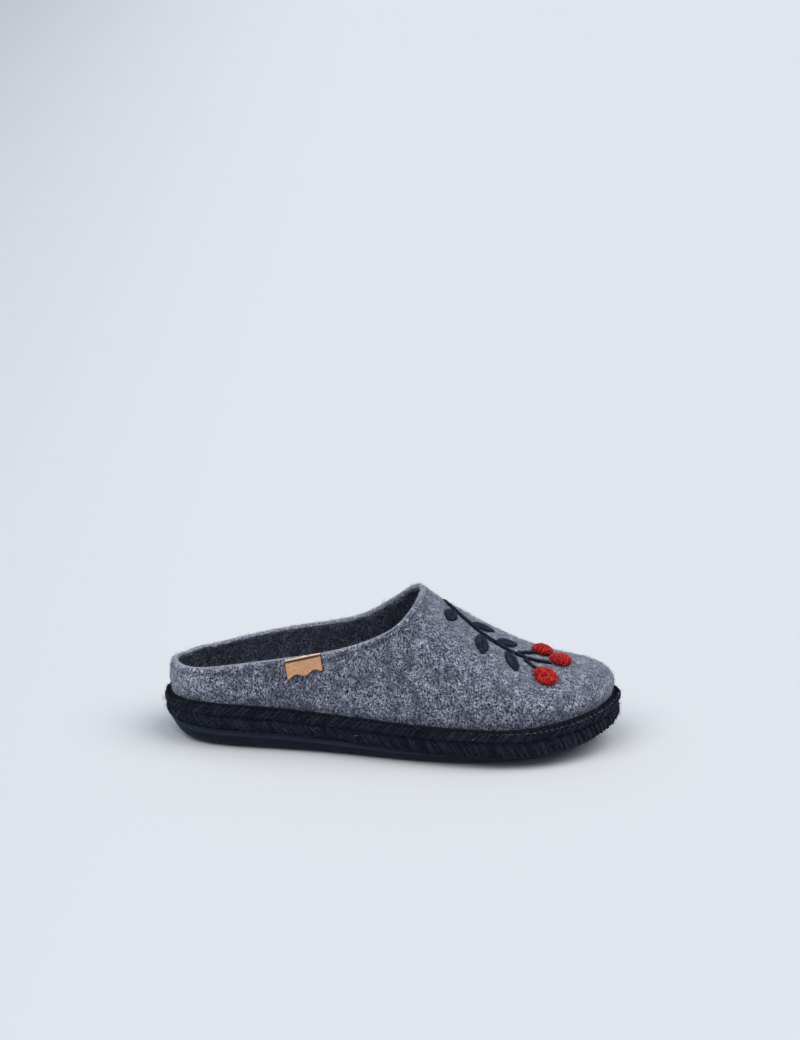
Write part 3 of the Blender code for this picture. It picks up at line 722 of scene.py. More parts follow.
lining_felt, lining_colour, lining_height = heather(
    "felt_lining", LINING_DARK, LINING_MIDDLE, LINING_LIGHT, LINING_SHEEN)
dress(lining_felt, lining_colour, lining_height, FELT_RISE)
settle(lining, "insole_felt", lining_felt)


# Collar stitches: one row of grey thread, sewn by machine through the upper and the lining all
# round the collar. It is pulled down into a trough in the felt below the raw edge.
THREAD_GREY = (0.060, 0.064, 0.088)
THREAD_PALE = 1.9
THREAD_RADIUS = 0.00030
THREAD_TWIST = (26.0, 2.2)
THREAD_PLY_DEPTH = 0.0001
COLLAR_STITCH = 0.0030
COLLAR_STITCH_GAP = 0.0012
COLLAR_STEPS = 720
SEAM_STEPS = 20
# A stitch's rings, how near its ends come to the surface and how far it arches and is sunk
STITCH_RINGS = 5
STITCH_END = 0.12
STITCH_ARCH = 1.1
STITCH_SUNK = 0.9
# How far outside and below the edge, and from what height inside, the felt's outside is looked for
RIM_OUT = 0.003
RIM_PIVOT = 0.02

felt_tree = face_tree(felt.data, ~felt_inner)
stitch_shape = np.sin(np.linspace(STITCH_END, math.pi - STITCH_END, STITCH_RINGS))
stitch_taper = 0.5 + 0.5 * stitch_shape


def on_felt(points, lifts=0.0):
    """Nearest places on the outside of the felt, raised along its normals, and those normals."""
    points = np.asarray(points)
    lifts = np.broadcast_to(lifts, points.shape[:-1]).ravel()
    found = [felt_tree.find_nearest(Vector(point))[:2] for point in points.reshape(-1, 3)]
    raised = [place + normal * lift for (place, normal), lift in zip(found, lifts)]
    normals = [normal for _, normal in found]
    return np.array(raised).reshape(points.shape), np.array(normals).reshape(points.shape)


def tubes(name, centres, wides, talls, tones, around=6):
    """One mesh of many closed tubes, with rings at centres of half widths and half heights.

    The tone is one value a tube; along runs from 0 to 1 and across from -1 to 1 on each.
    """
    count, rings, _ = centres.shape
    turns = 2 * math.pi * np.arange(around) / around
    points = (
        centres[:, :, None]
        + np.cos(turns)[:, None] * wides[:, :, None]
        + np.sin(turns)[:, None] * talls[:, :, None]
    )
    here = np.arange(around)
    after = (here + 1) % around
    starts = (np.arange(rings - 1) * around)[:, None]
    quads = np.stack(
        [starts + here, starts + after, starts + around + after, starts + around + here], axis=-1)
    firsts = (np.arange(count) * rings * around)[:, None]
    sides = (firsts[:, :, None] + quads.reshape(-1, 4)).reshape(-1, 4)
    back_caps = firsts + here[::-1]
    front_caps = firsts + (rings - 1) * around + here
    mesh = bpy.data.meshes.new(name)
    mesh.from_pydata(
        points.reshape(-1, 3).tolist(), [], sides.tolist() + back_caps.tolist() + front_caps.tolist())
    along = np.broadcast_to(np.linspace(0, 1, rings)[:, None], (count, rings, around))
    store(mesh, "along", along.ravel())
    store(mesh, "across", np.broadcast_to(np.cos(turns), (count, rings, around)).ravel())
    store(mesh, "tone", np.repeat(tones, rings * around))
    piece = bpy.data.objects.new(name, mesh)
    bpy.context.collection.objects.link(piece)
    with editing(piece):
        bpy.ops.mesh.normals_make_consistent(inside=False)
    bpy.ops.object.shade_smooth()
    return piece


def tube_frames(centres, normals):
    """Unit vectors across and out of tubes that lie on a surface with these normals."""
    along = unit(np.gradient(centres, axis=1))
    wides = unit(np.cross(normals, along))
    return wides, unit(np.cross(along, wides))


def laid_tubes(name, centres, normals, radius, taper, tones, around=6):
    """Tubes on a surface with these normals; the radius may be a half width and a half height."""
    wides, talls = tube_frames(centres, normals)
    size = np.broadcast_to(taper, centres.shape[:2])[..., None]
    width, height = np.broadcast_to(radius, 2)
    return tubes(name, centres, wides * size * width, talls * size * height, tones, around)


def twist(made, along, across):
    """Slanting ridges of a twisted thread, with this many waves along and across it."""
    slant = times(attribute(made, "across"), across)
    return maths("SINE", times(attribute(made, "along"), along, slant))


def toned(colour, strength):
    return [strength * part for part in colour]


rim_even = walk(rim, COLLAR_STEPS, closed=True)
rim_even = (np.roll(rim_even, 1, 0) + rim_even + np.roll(rim_even, -1, 0)) / 3
rim_along = unit(np.roll(rim_even, -1, 0) - np.roll(rim_even, 1, 0))
rim_pivots = np.column_stack([
    rim_even[:, 0].clip(*AXIS_ENDS), np.zeros(COLLAR_STEPS), rim_even[:, 2] + RIM_PIVOT])
near_edge, edge_normals = on_felt(
    rim_even + RIM_OUT * unit(rim_even - rim_pivots) - (0.0, 0.0, RIM_OUT))
rim_down = unit(np.cross(rim_along, edge_normals))
rim_down *= np.sign((rim_down * (near_edge - rim_even)).sum(1))[:, None]
stitch_line = on_felt(rim_even + STITCH_BELOW * rim_down)[0]
stitch_pitch = COLLAR_STITCH + COLLAR_STITCH_GAP
stitch_count = int(np.linalg.norm(np.diff(stitch_line, axis=0), axis=1).sum() / stitch_pitch)
seam = walk(stitch_line, stitch_count * SEAM_STEPS, closed=True).reshape(stitch_count, SEAM_STEPS, 3)
picked = np.linspace(0, (SEAM_STEPS - 1) * COLLAR_STITCH / stitch_pitch, STITCH_RINGS)
stitches, stitch_normals = on_felt(
    seam[:, picked.round().astype(int)], THREAD_RADIUS * (STITCH_ARCH * stitch_shape - STITCH_SUNK))
draws = np.random.default_rng(11)
collar_stitches = laid_tubes(
    "collar_stitches", stitches, stitch_normals, THREAD_RADIUS, stitch_taper, draws.random(stitch_count))
thread = surface("thread_grey", 0.8, Sheen_Weight=0.2)
thread_ply = twist(thread, *THREAD_TWIST)
# Paler on each ply's ridge, a painted highlight, and varied by each stitch's own tone
thread_tone_and_highlight = times(thread_ply, 0.25, attribute(thread, "tone"))
thread_colour = blend(thread_tone_and_highlight, THREAD_GREY, toned(THREAD_GREY, THREAD_PALE))
dress(thread, thread_colour, thread_ply, THREAD_PLY_DEPTH)
settle(collar_stitches, "felt_grey", thread)


# Plaited band: black yarn plaited into a flat two-row braid and sewn round the sole's edge with a
# row of thread, which is paler towards the toe. The strands of both rows start in the groove and
# lean the same way, so they make chevrons. A core behind them closes the gaps.
YARN_BLACK = (0.0026, 0.0038, 0.0100)
YARN_GREY = (0.048, 0.055, 0.088)
YARN_TWIST = (30.0, 4.0)
YARN_FLUFF = 0.0007
YARN_FLUFF_DEPTH = 0.0006
YARN_HALF_WIDTH = 0.00060
YARN_HALF_HEIGHT = 0.00062
YARN_SPACING = 0.00095
YARN_SHINGLE = 0.00028
STRANDS = 180
STRAND_YARNS = (-1, 0, 1)
STRAND_SWEEP = 0.0064
# Middle line of a strand from the groove to the edge: its inset from the band's outside and its
# height above or below the groove
STRAND_INSET = np.array((2.9, 1.8, 1.05, 0.75, 1.0, 2.0, 3.3)) / 1000
STRAND_RISE = np.array((-0.7, 0.5, 2.0, 3.8, 5.7, 6.6, 5.7)) / 1000
STRAND_LEAN = np.array((-0.08, 0.08, 0.28, 0.50, 0.72, 0.90, 1.0))
STRAND_TAPER = np.array((0.65, 0.9, 1.0, 1.0, 1.0, 1.0, 0.8))
# How unevenly the strands and their yarns lie
START_STRAY = 0.05
LEAN_STRAY = 0.07
INSET_STRAY = 0.00012
REACH_STRAY = 0.02
SPREAD_STRAY = 0.00010
RAISED_STRAY = 0.00012
THICK_STRAY = 0.10
# Each row's side of the groove, its shift along the band and its height
ROWS = ((1.0, 0.0, 0.82), (-1.0, 0.5, 1.0))
ROW_TOE_DROP = 0.38
TOE_STATIONS = (-0.020, 0.060)
TOE_TURN = 0.0016
GROOVE_HEIGHT = 0.0102
HEEL_TUCK = 0.0016
HEEL_TUCK_STATIONS = (-0.105, -0.125)
HEEL_TUCK_HEIGHTS = (GROOVE_HEIGHT, GROOVE_HEIGHT - 0.006)
BAND_THREAD = 0.00022
BAND_STITCH = 0.0017
BAND_STITCH_SHARE = 0.7
BAND_STITCH_ROOT = 0.0017
BAND_STITCH_OUT = 0.0012
BAND_STITCH_RISE = 0.0054
BAND_THREAD_PALE = (0.21, 0.215, 0.25)
PALE_SPREAD = (0.3, 1.0)
PALE_ENDS = (0.12, 1.0)
PALE_STATIONS = (0.040, 0.090)
CORE_INSET = 0.0015
CORE_FOOT = (0.0022, -0.0008)
CORE_TOP = 0.0177


def heel_tuck(x, height):
    """How far the band's lower half turns in under the heel."""
    return HEEL_TUCK * ease(x, *HEEL_TUCK_STATIONS) * ease(height, *HEEL_TUCK_HEIGHTS)


draws = np.random.default_rng(23)
yarns = []
for side, shift, row_height in ROWS:
    starts = (np.arange(STRANDS) + shift + draws.normal(0, START_STRAY, STRANDS)) * ring_length / STRANDS
    lean = STRAND_SWEEP * draws.normal(1.0, LEAN_STRAY, STRANDS)
    distance = starts[:, None] + lean[:, None] * STRAND_LEAN
    inset = STRAND_INSET + draws.normal(0, INSET_STRAY, STRANDS)[:, None]
    x = on_band(distance, inset, inset)[0][..., 0]
    reach = row_height * draws.normal(1.0, REACH_STRAY, STRANDS)[:, None]
    if side < 0:
        reach = reach + ROW_TOE_DROP * ease(x, *TOE_STATIONS)
    rise = GROOVE_HEIGHT + side * STRAND_RISE * reach
    toe_turn = TOE_TURN * ease(x, *TOE_STATIONS) * (rise < GROOVE_HEIGHT) * STRAND_LEAN.clip(0.0, 1.0)**3
    centres, outs = on_band(distance, inset + heel_tuck(x, rise) + toe_turn, rise)
    wides, talls = tube_frames(centres, outs)
    for beside in STRAND_YARNS:
        spread = beside * YARN_SPACING * STRAND_TAPER + draws.normal(0, SPREAD_STRAY, STRANDS)[:, None]
        raised = side * beside * YARN_SHINGLE + draws.normal(0, RAISED_STRAY, STRANDS)[:, None]
        thick = draws.normal(1.0, THICK_STRAY, STRANDS)[:, None, None] * STRAND_TAPER[:, None]
        yarns.append((
            centres + wides * spread[..., None] + talls * raised[..., None],
            wides * thick * YARN_HALF_WIDTH,
            talls * thick * YARN_HALF_HEIGHT,
        ))
strand_parts = [np.concatenate(part) for part in zip(*yarns)]
strands = tubes("braid_strands", *strand_parts, draws.random(len(yarns) * STRANDS))


def painted_highlight_middle(made, share, sides):
    """A share that fades to nothing at the sides of a yarn: a painted highlight along its middle."""
    across = attribute(made, "across")
    return times(share, ramp(times(across, across), *sides))


yarn = surface("braid_yarn_black", 0.85, Specular_IOR_Level=0.12, Sheen_Weight=0.03)
fluff = noise(object_place(yarn), YARN_FLUFF, Detail=4.0, Roughness=0.7, Distortion=1.0)
yarn_tone = maths("SUBTRACT", attribute(yarn, "tone"), 0.5)
# The grey is a painted highlight along each yarn's middle, with painted shade at its sides and ends,
# varied by its own tone and fluff
yarn_tone_and_highlight = painted_highlight_middle(yarn, times(yarn_tone, 0.7, ramp(fluff, 0.40, 0.70)), (0.7, 0.1))
yarn_tone_and_highlight = times(yarn_tone_and_highlight, close_to(attribute(yarn, "along"), 0.55, 0.5, 0.2))
yarn_height = times(twist(yarn, *YARN_TWIST), 0.16, fluff)
dress(yarn, blend(yarn_tone_and_highlight, YARN_BLACK, YARN_GREY), yarn_height, YARN_FLUFF_DEPTH)
settle(strands, "braid_yarn_black", yarn, "braid_band")

seam_count = int(ring_length / BAND_STITCH)
seam_run = np.arange(seam_count)[:, None] + BAND_STITCH_SHARE * np.linspace(0.0, 1.0, STITCH_RINGS)
seam_run = seam_run * ring_length / seam_count
seam_inset = np.broadcast_to(BAND_STITCH_ROOT - BAND_STITCH_OUT * stitch_shape, seam_run.shape)
seam_rise = np.full(seam_run.shape, GROOVE_HEIGHT + BAND_STITCH_RISE)
band_seam, seam_out = on_band(seam_run, seam_inset, seam_rise)
# The thread turns paler towards the toe
thread_paleness = draws.uniform(*PALE_SPREAD, seam_count)
thread_paleness *= between(PALE_ENDS, ease(band_seam[:, 0, 0], *PALE_STATIONS))
band_stitches = laid_tubes("band_stitches", band_seam, seam_out, BAND_THREAD, stitch_taper, thread_paleness)
band_thread = surface("band_thread", 0.8, Specular_IOR_Level=0.15, Sheen_Weight=0.1)
dress(band_thread, blend(attribute(band_thread, "tone"), YARN_BLACK, BAND_THREAD_PALE))
settle(band_stitches, "braid_yarn_black", band_thread)

core = copy_of("braid_band", "braid_core")
core_points = points_of(core.data)
core_inset, core_out, core_foot = from_edge(core_points)
core_high = core_points[:, 2] - core_foot
core_low = between(CORE_FOOT, ease(core_points[:, 0], *TOE_STATIONS))
core_rise = core_low + (CORE_TOP - core_low) * core_high / core_high.max()
core_in = CORE_INSET * np.clip(1.0 - core_inset / core_inset.max(), 0.0, 1.0)
core_in += heel_tuck(core_points[:, 0], core_rise)
core_points[:, 2] = core_foot + core_rise
move_points(core.data, core_points - core_out * core_in[:, None])
settle(core, "braid_yarn_black", yarn)


# Loose fibres: single curled hairs of wool, pale and dark mixed, that the pressing left standing
# out of the felt and the plaiting out of the yarn. A few long stray ones lie on the band.
FELT_HAIRS = 13000
BRAID_HAIRS = 7500
# Length, radius and rise of the hairs
FELT_HAIR = (0.0024, 0.000055, 0.26)
BRAID_HAIR = (0.0029, 0.000045, 0.45)
FELT_HAIR_LIGHT = (0.62, 0.63, 0.70)
BRAID_HAIR_LIGHT = (0.12, 0.12, 0.14)
HAIR_SPANS = (0.5, 1.5)
HAIR_RISES = (0.2, 1.6)
HAIR_ARCH = 2.0
HAIR_CURL = 0.4
HAIR_TAPER = np.array((1.0, 0.8, 0.25))
STRAY_HAIRS = 70
STRAY_RINGS = 9
STRAY_RADIUS = 0.00006
STRAY_BENDS = (1.0, 3.2)
STRAY_SIZES = (0.0014, 0.0032)
STRAY_LIFT = 0.0009
STRAY_ARCH = 2.4
STRAY_DARK = (0.05, 0.05, 0.06)
STRAY_LIGHT = (0.5, 0.5, 0.5)


def scatter(piece, count, draws, wanted=None):
    """Random places spread evenly over a piece's faces, with their normals."""
    mesh = piece.data
    mesh.calc_loop_triangles()
    corners = points_of(mesh)[read(mesh.loop_triangles, "vertices", int)]
    if wanted is not None:
        corners = corners[[wanted[triangle.polygon_index] for triangle in mesh.loop_triangles]]
    across = np.cross(corners[:, 1] - corners[:, 0], corners[:, 2] - corners[:, 0])
    areas = np.linalg.norm(across, axis=1)
    chosen = draws.choice(len(areas), count, p=areas / areas.sum())
    first, second = draws.random(count), draws.random(count)
    over = first + second > 1
    first[over], second[over] = 1 - first[over], 1 - second[over]
    edges = corners[chosen]
    points = (
        edges[:, 0]
        + first[:, None] * (edges[:, 1] - edges[:, 0])
        + second[:, None] * (edges[:, 2] - edges[:, 0])
    )
    return points, unit(across[chosen])


def hairs(name, points, normals, draws, length, radius, stand):
    """Curled hairs that start on a surface, lie mostly along it and rise a little at the tip."""
    count = len(points)
    heading = draws.normal(size=(count, 3))
    heading = unit(heading - (heading * normals).sum(1)[:, None] * normals)
    sideways = np.cross(normals, heading)
    span = (length * draws.uniform(*HAIR_SPANS, count))[:, None, None]
    rise = (stand * draws.uniform(*HAIR_RISES, count))[:, None, None]
    curl = draws.normal(0, HAIR_CURL, count)[:, None, None]
    steps = np.linspace(0.0, 1.0, len(HAIR_TAPER))[None, :, None]
    centres = (
        points[:, None]
        + span * steps * heading[:, None]
        + span * rise * np.sin(steps * HAIR_ARCH) * normals[:, None]
        + span * curl * steps**2 * sideways[:, None]
    )
    outs = np.repeat(normals[:, None], len(HAIR_TAPER), 1)
    return laid_tubes(name, centres, outs, radius, HAIR_TAPER, draws.random(count), around=3)


def hair_material(name, dark, light):
    """Hair between a dark and a light colour, more of it dark."""
    made = surface(name, 0.9, Specular_IOR_Level=0.15)
    dress(made, blend(maths("POWER", attribute(made, "tone"), 1.6), dark, light))
    return made


draws = np.random.default_rng(37)
places, normals = scatter(felt, FELT_HAIRS, draws, ~felt_inner)
felt_hairs = hairs("felt_fibres", places, normals, draws, *FELT_HAIR)
settle(felt_hairs, "felt_grey", hair_material("felt_hair", FELT_DARK, FELT_HAIR_LIGHT))
places, normals = scatter(strands, BRAID_HAIRS, draws)
braid_hairs = hairs("braid_fibres", places, normals, draws, *BRAID_HAIR)
settle(braid_hairs, "braid_yarn_black", hair_material("braid_hair", YARN_BLACK, BRAID_HAIR_LIGHT))

places, normals = scatter(strands, STRAY_HAIRS, draws)
stray_steps = np.linspace(0.0, 1.0, STRAY_RINGS)[None, :, None]
heading = unit(np.cross(normals, draws.normal(size=(STRAY_HAIRS, 3))))
sideways = np.cross(normals, heading)
bend = draws.uniform(*STRAY_BENDS, STRAY_HAIRS)[:, None, None] * stray_steps
size = draws.uniform(*STRAY_SIZES, STRAY_HAIRS)[:, None, None]
strays = (
    places[:, None]
    + size * np.sin(bend) * heading[:, None]
    + size * (1.0 - np.cos(bend)) * sideways[:, None]
    + STRAY_LIFT * np.sin(stray_steps * STRAY_ARCH) * normals[:, None]
)
stray_hairs = laid_tubes(
    "stray_fibres", strays, np.repeat(normals[:, None], STRAY_RINGS, 1), STRAY_RADIUS, 1.0,
    draws.random(STRAY_HAIRS), around=4)
settle(stray_hairs, "braid_yarn_black", hair_material("stray_hair", STRAY_DARK, STRAY_LIGHT))


# Leather tag: a bare patch of tan leather, sewn to the lateral wall just under the collar's edge
# through a pressed groove, with a wavy lower edge and a paler cut edge on top, partly painted highlight.
LEATHER_TAN = (0.72, 0.370, 0.178)
LEATHER_PALE_HIGHLIGHT = (0.95, 0.74, 0.50)
LEATHER_BROWN = (0.045, 0.017, 0.008)
LEATHER_CLOUD = 0.004
LEATHER_PORE = 0.0006
LEATHER_DEPTH = 0.0004
TAG_SHARP = math.radians(50)
TAG_EDGE_ROUND = 0.00055
TAG_NARROW = (0.91, 1.0, 1.10)
TAG_LIFT = (0.0, 0.0, 0.0026)
TAG_CURL = 0.0009
TAG_CURL_BELOW = (0.006, 0.016)
TAG_TOP_STEPS = 9
TAG_TOP_ENDS = (0.002, 0.004)
TAG_TOP_WINDOW = 0.0012
TAG_TOP_HIGHLIGHT = (0.0008, 0.0005)
TAG_SHADE_FACING = (0.75, 0.0, -0.66)
TAG_GROOVE = 0.0016
TAG_GROOVE_HALF = 0.0011
TAG_STITCHES = 9
TAG_STITCH_ENDS = (0.0022, 0.0033)
TAG_STITCH_SHARE = 0.72
TAG_STITCH_SUNK = 0.4

tag = copy_of("leather_tag", "tag_leather")
with editing(tag):
    bpy.ops.mesh.subdivide(number_cuts=1)
    select_sharp(TAG_SHARP)
    bpy.ops.mesh.bevel(offset=TAG_EDGE_ROUND, segments=3, affect="EDGES")
bpy.ops.object.shade_smooth()
upper_tree = face_tree(solid("upper"))
tag_heights = np.array([upper_tree.find_nearest(vertex.co)[3] for vertex in tag.data.vertices])
tag_low, tag_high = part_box("leather_tag")
with editing(tag):
    bpy.ops.transform.resize(value=TAG_NARROW, center_override=(tag_low.x, tag_low.y, tag_high.z))
    bpy.ops.transform.translate(value=TAG_LIFT)
tag_points = points_of(tag.data)
tag_curls = TAG_CURL * ease(tag_points[:, 2].max() - tag_points[:, 2], *TAG_CURL_BELOW)
tag_points = on_felt(tag_points, tag_heights + tag_curls)[0]
move_points(tag.data, tag_points)
tag_x, tag_z = tag_points[:, 0], tag_points[:, 2]
tag_stations = np.linspace(tag_x.min() + TAG_TOP_ENDS[0], tag_x.max() - TAG_TOP_ENDS[1], TAG_TOP_STEPS)
tag_tops = [tag_z[np.abs(tag_x - x) < TAG_TOP_WINDOW].max() for x in tag_stations]
tag_slope, tag_level = np.polyfit(tag_stations, tag_tops, 1)
tag_cosine = math.cos(math.atan(tag_slope))
store(tag.data, "below_top", (tag_slope * tag_x + tag_level - tag_z) * tag_cosine)
store(tag.data, "edge_shade_facing", normals_of(tag.data) @ np.array(TAG_SHADE_FACING))
leather = surface("leather_tan", 0.55, Specular_IOR_Level=0.4)
cloud = noise(object_place(leather), LEATHER_CLOUD, Detail=4.0, Roughness=0.65)
pore = noise(object_place(leather), LEATHER_PORE, Detail=4.0, Roughness=0.7)
below_top = attribute(leather, "below_top")
groove = close_to(below_top, TAG_GROOVE, TAG_GROOVE_HALF)
# Cut sides darken to brown, most where they face right and down: a burnished edge and painted shade
cut_side_shade = ramp(attribute(leather, "edge_shade_facing"), 0.04, 0.30)
leather_colour = blend(ramp(cloud, 0.35, 0.70), LEATHER_TAN, toned(LEATHER_TAN, 1.22))
leather_colour = blend(ramp(pore, 0.60, 0.40), leather_colour, toned(LEATHER_TAN, 0.62))
leather_colour = blend(cut_side_shade, leather_colour, LEATHER_BROWN)
# Paler top edge: the cut edge's own colour and a painted highlight
leather_colour = blend(ramp(below_top, *TAG_TOP_HIGHLIGHT), leather_colour, LEATHER_PALE_HIGHLIGHT)
# Dark brown along the stitched groove: partly the groove's own colour, partly painted shade
leather_colour = blend(groove, leather_colour, LEATHER_BROWN)
dress(leather, leather_colour, times(groove, -1.2, times(pore, 0.5)), LEATHER_DEPTH)
settle(tag, "leather_tan", leather, "leather_tag")

tag_tree = face_tree(tag.data)
tag_pitch = (tag_x.max() - tag_x.min() - sum(TAG_STITCH_ENDS)) / TAG_STITCHES
tag_stitches = np.empty((TAG_STITCHES, STITCH_RINGS, 3))
for row in range(TAG_STITCHES):
    for step, share in enumerate(np.linspace(0.0, TAG_STITCH_SHARE, STITCH_RINGS)):
        x = tag_x.min() + TAG_STITCH_ENDS[0] + (row + share) * tag_pitch
        z = tag_slope * x + tag_level - TAG_GROOVE / tag_cosine
        hit, normal, _, _ = tag_tree.ray_cast(Vector((x, -0.1, z)), Vector((0, 1, 0)))
        tag_stitches[row, step] = hit + normal * THREAD_RADIUS * (stitch_shape[step] - TAG_STITCH_SUNK)
tag_thread = laid_tubes(
    "tag_stitches", tag_stitches, np.broadcast_to((0.0, -1.0, 0.0), tag_stitches.shape),
    THREAD_RADIUS, stitch_taper, draws.random(TAG_STITCHES))
brown = surface("thread_brown", 0.7)
dress(brown, blend(attribute(brown, "tone"), LEATHER_BROWN, toned(LEATHER_BROWN, 1.8)))
settle(tag_thread, "leather_tan", brown)


# Sprig: a berry twig sewn on the vamp in thick yarn. The stem and stalks are slanting stitches
# laid one on the next like rope, and each leaf is filled with stitches from its midrib outwards.
SPRIG_TWIST = (40.0, 2.5)
SPRIG_LINT = 0.0005
SPRIG_LINT_DEPTH = 0.0003
SPRIG_STITCH = 0.0056
SPRIG_STEP = 0.0017
SPRIG_YARN = (0.00085, 0.00065)
SPRIG_SLANT = 0.0007
SPRIG_LIFT = (0.5, 2.0)
SPRIG_EARLY = 0.12
SPRIG_TAPER = 0.55 + 0.45 * stitch_shape
LINE_STEPS = 400
LINE_SLICES = 13
LINE_SLICE_LAP = 1e-5
LINE_END_WINDOW = 0.0012
STEM_TIP_STEPS = 40
STALK_STEPS = 20
STALK_REACH = 0.0024
STALK_ROOT = 0.0012
LEAVES = 5
LEAF_STITCHES = 11
LEAF_FIRST = 0.3
LEAF_FILLED = 0.9
LEAF_SLANT = 0.0022
LEAF_ROUND = 0.8
LEAF_RIB = 0.0002
LEAF_DOME = 0.0012
LEAF_DOME_ENDS = (0.35, 1.0)
LEAF_YARN = 0.62
LEAF_TAPER = 0.6 + 0.4 * stitch_shape
FOOTSTALK_REACH = 0.004

sprig_yarn = surface("sprig_yarn_black", 0.8, Specular_IOR_Level=0.15, Sheen_Weight=0.03)
lint = noise(object_place(sprig_yarn), SPRIG_LINT, Detail=3.0, Roughness=0.7)
# The grey is a painted highlight along each stitch's middle, varied by the yarn's own tone and lint
sprig_tone_and_highlight = times(attribute(sprig_yarn, "tone"), 0.45, ramp(lint, 0.45, 0.75))
sprig_tone_and_highlight = painted_highlight_middle(sprig_yarn, sprig_tone_and_highlight, (0.75, 0.1))
sprig_height = times(twist(sprig_yarn, *SPRIG_TWIST), 0.3, lint)
dress(sprig_yarn, blend(sprig_tone_and_highlight, YARN_BLACK, YARN_GREY), sprig_height, SPRIG_LINT_DEPTH)


def middle_line(node, count):
    """Evenly spaced points along the middle of a long solid, from its heel end to its toe end."""
    points = points_of(solid(node))
    x = points[:, 0]
    edges = np.linspace(x.min(), x.max(), LINE_SLICES + 1)
    slices = [points[(x >= first - LINE_SLICE_LAP) & (x <= last + LINE_SLICE_LAP)]
              for first, last in zip(edges, edges[1:])]
    line = np.array([found.mean(0) for found in slices if len(found)])
    ends = [points[np.abs(x - end) < LINE_END_WINDOW].mean(0) for end in (edges[0], edges[-1])]
    return walk(np.vstack([ends[:1], line[1:-1], ends[1:]]), count)


def rope(line, name, draws):
    """Slanting stitches laid along a line of even points, each half over the one before."""
    length = np.linalg.norm(np.diff(line, axis=0), axis=1).sum()
    count = max(int((length - SPRIG_STITCH) / SPRIG_STEP), 2)
    last = len(line) - 1
    starts = np.arange(count)[:, None] * (length - SPRIG_STITCH) / (count - 1)
    share = np.linspace(0.0, 1.0, STITCH_RINGS)
    index = ((starts + share * SPRIG_STITCH) / length * last).astype(int)
    ahead = line[np.minimum(index + 1, last)] - line[np.maximum(index - 1, 0)]
    sideways = unit(np.cross(on_felt(line[index])[1], ahead))
    slanted = line[index] + SPRIG_SLANT * (1.0 - 2.0 * share)[:, None] * sideways
    arch = np.sin(math.pi * np.minimum(share + SPRIG_EARLY, 1.0))
    centres, outs = on_felt(slanted, SPRIG_YARN[1] * between(SPRIG_LIFT, arch))
    return laid_tubes(name, centres, outs, SPRIG_YARN, SPRIG_TAPER, draws.random(count))


draws = np.random.default_rng(53)
stem_line = middle_line("sprig_stem", LINE_STEPS)
stem_tip = stem_line[-1] + STALK_REACH * unit(stem_line[-1] - stem_line[-STEM_TIP_STEPS])
stem_line = walk(np.vstack([stem_line, stem_tip]), LINE_STEPS)
settle(rope(stem_line, "sprig_stem_yarn", draws), "sprig_yarn_black", sprig_yarn, "sprig_stem")
for node in ("sprig_stalk_1", "sprig_stalk_2"):
    stalk = middle_line(node, STALK_STEPS)
    root = stem_line[np.linalg.norm(stem_line - stalk[0], axis=1).argmin()]
    root = root - STALK_ROOT * unit(stalk[0] - root)
    tip = stalk[-1] + STALK_REACH * unit(stalk[-1] - stalk[0])
    stalk = walk(np.vstack([root, stalk, tip]), LINE_STEPS)
    settle(rope(stalk, node + "_yarn", draws), "sprig_yarn_black", sprig_yarn, node)


def satin_leaf(node, draws):
    """Pairs of stitches that run from a leaf's midrib forwards to its edge, over a low dome."""
    points = points_of(solid(node))
    middle = points.mean(0)
    _, normal = on_felt(middle)
    flat = (points - middle) - ((points - middle) @ normal)[:, None] * normal
    along = np.linalg.svd(flat, full_matrices=False)[2][0]
    root = stem_line[np.linalg.norm(stem_line - middle, axis=1).argmin()]
    along *= np.sign(along @ (middle - root))
    across = np.cross(normal, along)
    heel, tip = (flat @ along).min(), (flat @ along).max()
    half = np.abs(flat @ across).max()
    rows = (np.arange(LEAF_STITCHES)[:, None, None] + LEAF_FIRST) / LEAF_STITCHES
    sides = np.array((-1.0, 1.0))[:, None]
    steps = np.linspace(0.0, 1.0, STITCH_RINGS)
    starts = between((heel, tip), rows * LEAF_FILLED)
    ends = np.minimum(starts + LEAF_SLANT, tip)
    arch = np.sin(math.pi * (ends - heel) / (tip - heel))
    forwards = between((starts, ends), steps)
    outwards = sides * between((LEAF_RIB, half * arch**LEAF_ROUND), steps)
    lifts = LEAF_DOME * between(LEAF_DOME_ENDS, arch) * np.sqrt(1.0 - steps**2) + LEAF_RIB
    centres, outs = on_felt(middle + along * forwards[..., None] + across * outwards[..., None], lifts)
    footstalk = walk(np.vstack([root, middle + along * (heel + FOOTSTALK_REACH)]), STITCH_RINGS)
    footstalk = on_felt(footstalk, SPRIG_YARN[1])[0]
    centres = np.vstack([centres.reshape(-1, STITCH_RINGS, 3), footstalk[None]])
    outs = np.vstack([outs.reshape(-1, STITCH_RINGS, 3), np.full((1, STITCH_RINGS, 3), normal)])
    yarn_size = LEAF_YARN * (tip - heel) / LEAF_STITCHES, SPRIG_YARN[1]
    return laid_tubes(
        node + "_yarn", centres, outs, yarn_size, LEAF_TAPER, draws.random(len(centres)))


for number in range(1, LEAVES + 1):
    node = f"sprig_leaf_{number}"
    settle(satin_leaf(node, draws), "sprig_yarn_black", sprig_yarn, node)


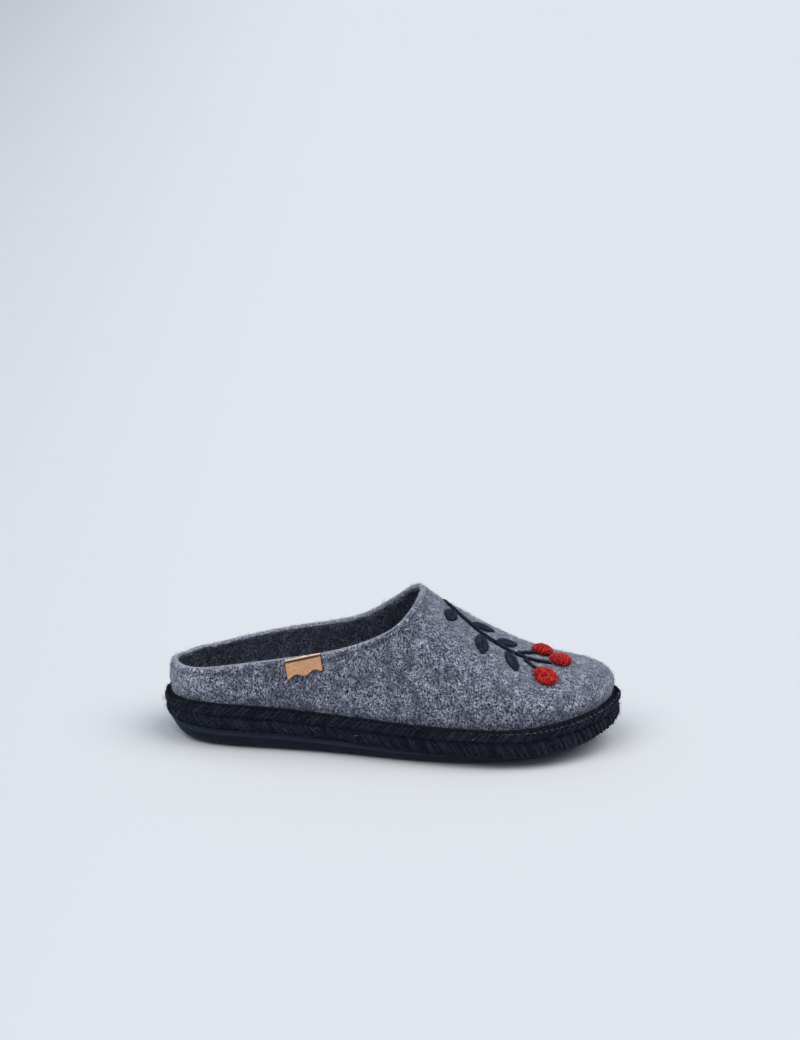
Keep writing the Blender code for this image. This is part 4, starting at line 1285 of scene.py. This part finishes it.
# Berries: round pads of red looped pile at the ends of the stem and stalks. The yarn is drawn up
# through the felt in small loops, which are left uncut and lean all ways over a sewn dome.
BERRIES = 3
BERRY_RED = (0.50, 0.016, 0.014)
BERRY_DEEP = (0.09, 0.003, 0.004)
BERRY_BRIGHT = (0.80, 0.075, 0.065)
BERRY_PILE = 0.0006
BERRY_PILE_DEPTH = 0.0003
BERRY_LOOPS = 120
BERRY_FILLED = 0.97
BERRY_ABOVE = 0.02
LOOP_YARN = 0.00034
LOOP_RADIUS = 0.00085
LOOP_RADII = (0.8, 1.25)
LOOP_RINGS = 7
LOOP_SUNK = 0.25
LOOP_LEAN = 0.35
GOLDEN_TURN = math.pi * (3.0 - math.sqrt(5.0))

berry_yarn = surface("sprig_yarn_red", 0.85, Specular_IOR_Level=0.12, Sheen_Weight=0.03)
pile = noise(object_place(berry_yarn), BERRY_PILE, Detail=3.0, Roughness=0.7)
# The pile's bump also sets its colour: deep red in its hollows, painted shade, and bright on its tops,
# painted highlight, with each loop's own tone
berry_tone_and_light = times(pile, 0.7, times(attribute(berry_yarn, "tone"), 0.45))
berry_colour = blend(ramp(berry_tone_and_light, 0.20, 0.55), BERRY_DEEP, BERRY_RED)
berry_colour = blend(ramp(berry_tone_and_light, 0.55, 0.90), berry_colour, BERRY_BRIGHT)
dress(berry_yarn, berry_colour, pile, BERRY_PILE_DEPTH)


def looped_berry(node, draws):
    """A dome covered with small arched loops of yarn that lean all ways."""
    dome = copy_of(node, node + "_yarn")
    subdivide(dome, 1)
    dome_tree = face_tree(dome.data)
    low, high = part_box(node)
    middle = (low + high) / 2
    normal = Vector(on_felt(middle)[1])
    side = normal.orthogonal().normalized()
    other = normal.cross(side)
    radius = (Vector((high.x - low.x, high.y - low.y, 0)).length / math.sqrt(2)) / 2
    centres = np.empty((BERRY_LOOPS, LOOP_RINGS, 3))
    outs = np.empty_like(centres)
    arc = np.linspace(-LOOP_SUNK, math.pi + LOOP_SUNK, LOOP_RINGS)[:, None]
    for row in range(BERRY_LOOPS):
        reach = radius * BERRY_FILLED * math.sqrt((row + 0.5) / BERRY_LOOPS)
        turn = row * GOLDEN_TURN
        over = middle + side * (reach * math.cos(turn)) + other * (reach * math.sin(turn))
        hit, facing, _, _ = dome_tree.ray_cast(over + normal * BERRY_ABOVE, -normal)
        if hit is None:
            hit, facing, _, _ = dome_tree.find_nearest(over)
        facing = np.array(facing)
        heading = draws.normal(size=3)
        heading = unit(heading - heading @ facing * facing)
        lean = unit(facing + draws.normal(0, LOOP_LEAN, 3))
        size = LOOP_RADIUS * draws.uniform(*LOOP_RADII)
        centres[row] = np.array(hit) + size * np.cos(arc) * heading + size * np.sin(arc) * lean
        outs[row] = np.cross(heading, lean)
    loops = laid_tubes("loops", centres, outs, LOOP_YARN, 1.0, draws.random(BERRY_LOOPS), around=5)
    only(dome)
    loops.select_set(True)
    bpy.ops.object.join()
    return dome


for number in range(1, BERRIES + 1):
    node = f"sprig_berry_{number}"
    settle(looped_berry(node, draws), "sprig_yarn_red", berry_yarn, node)
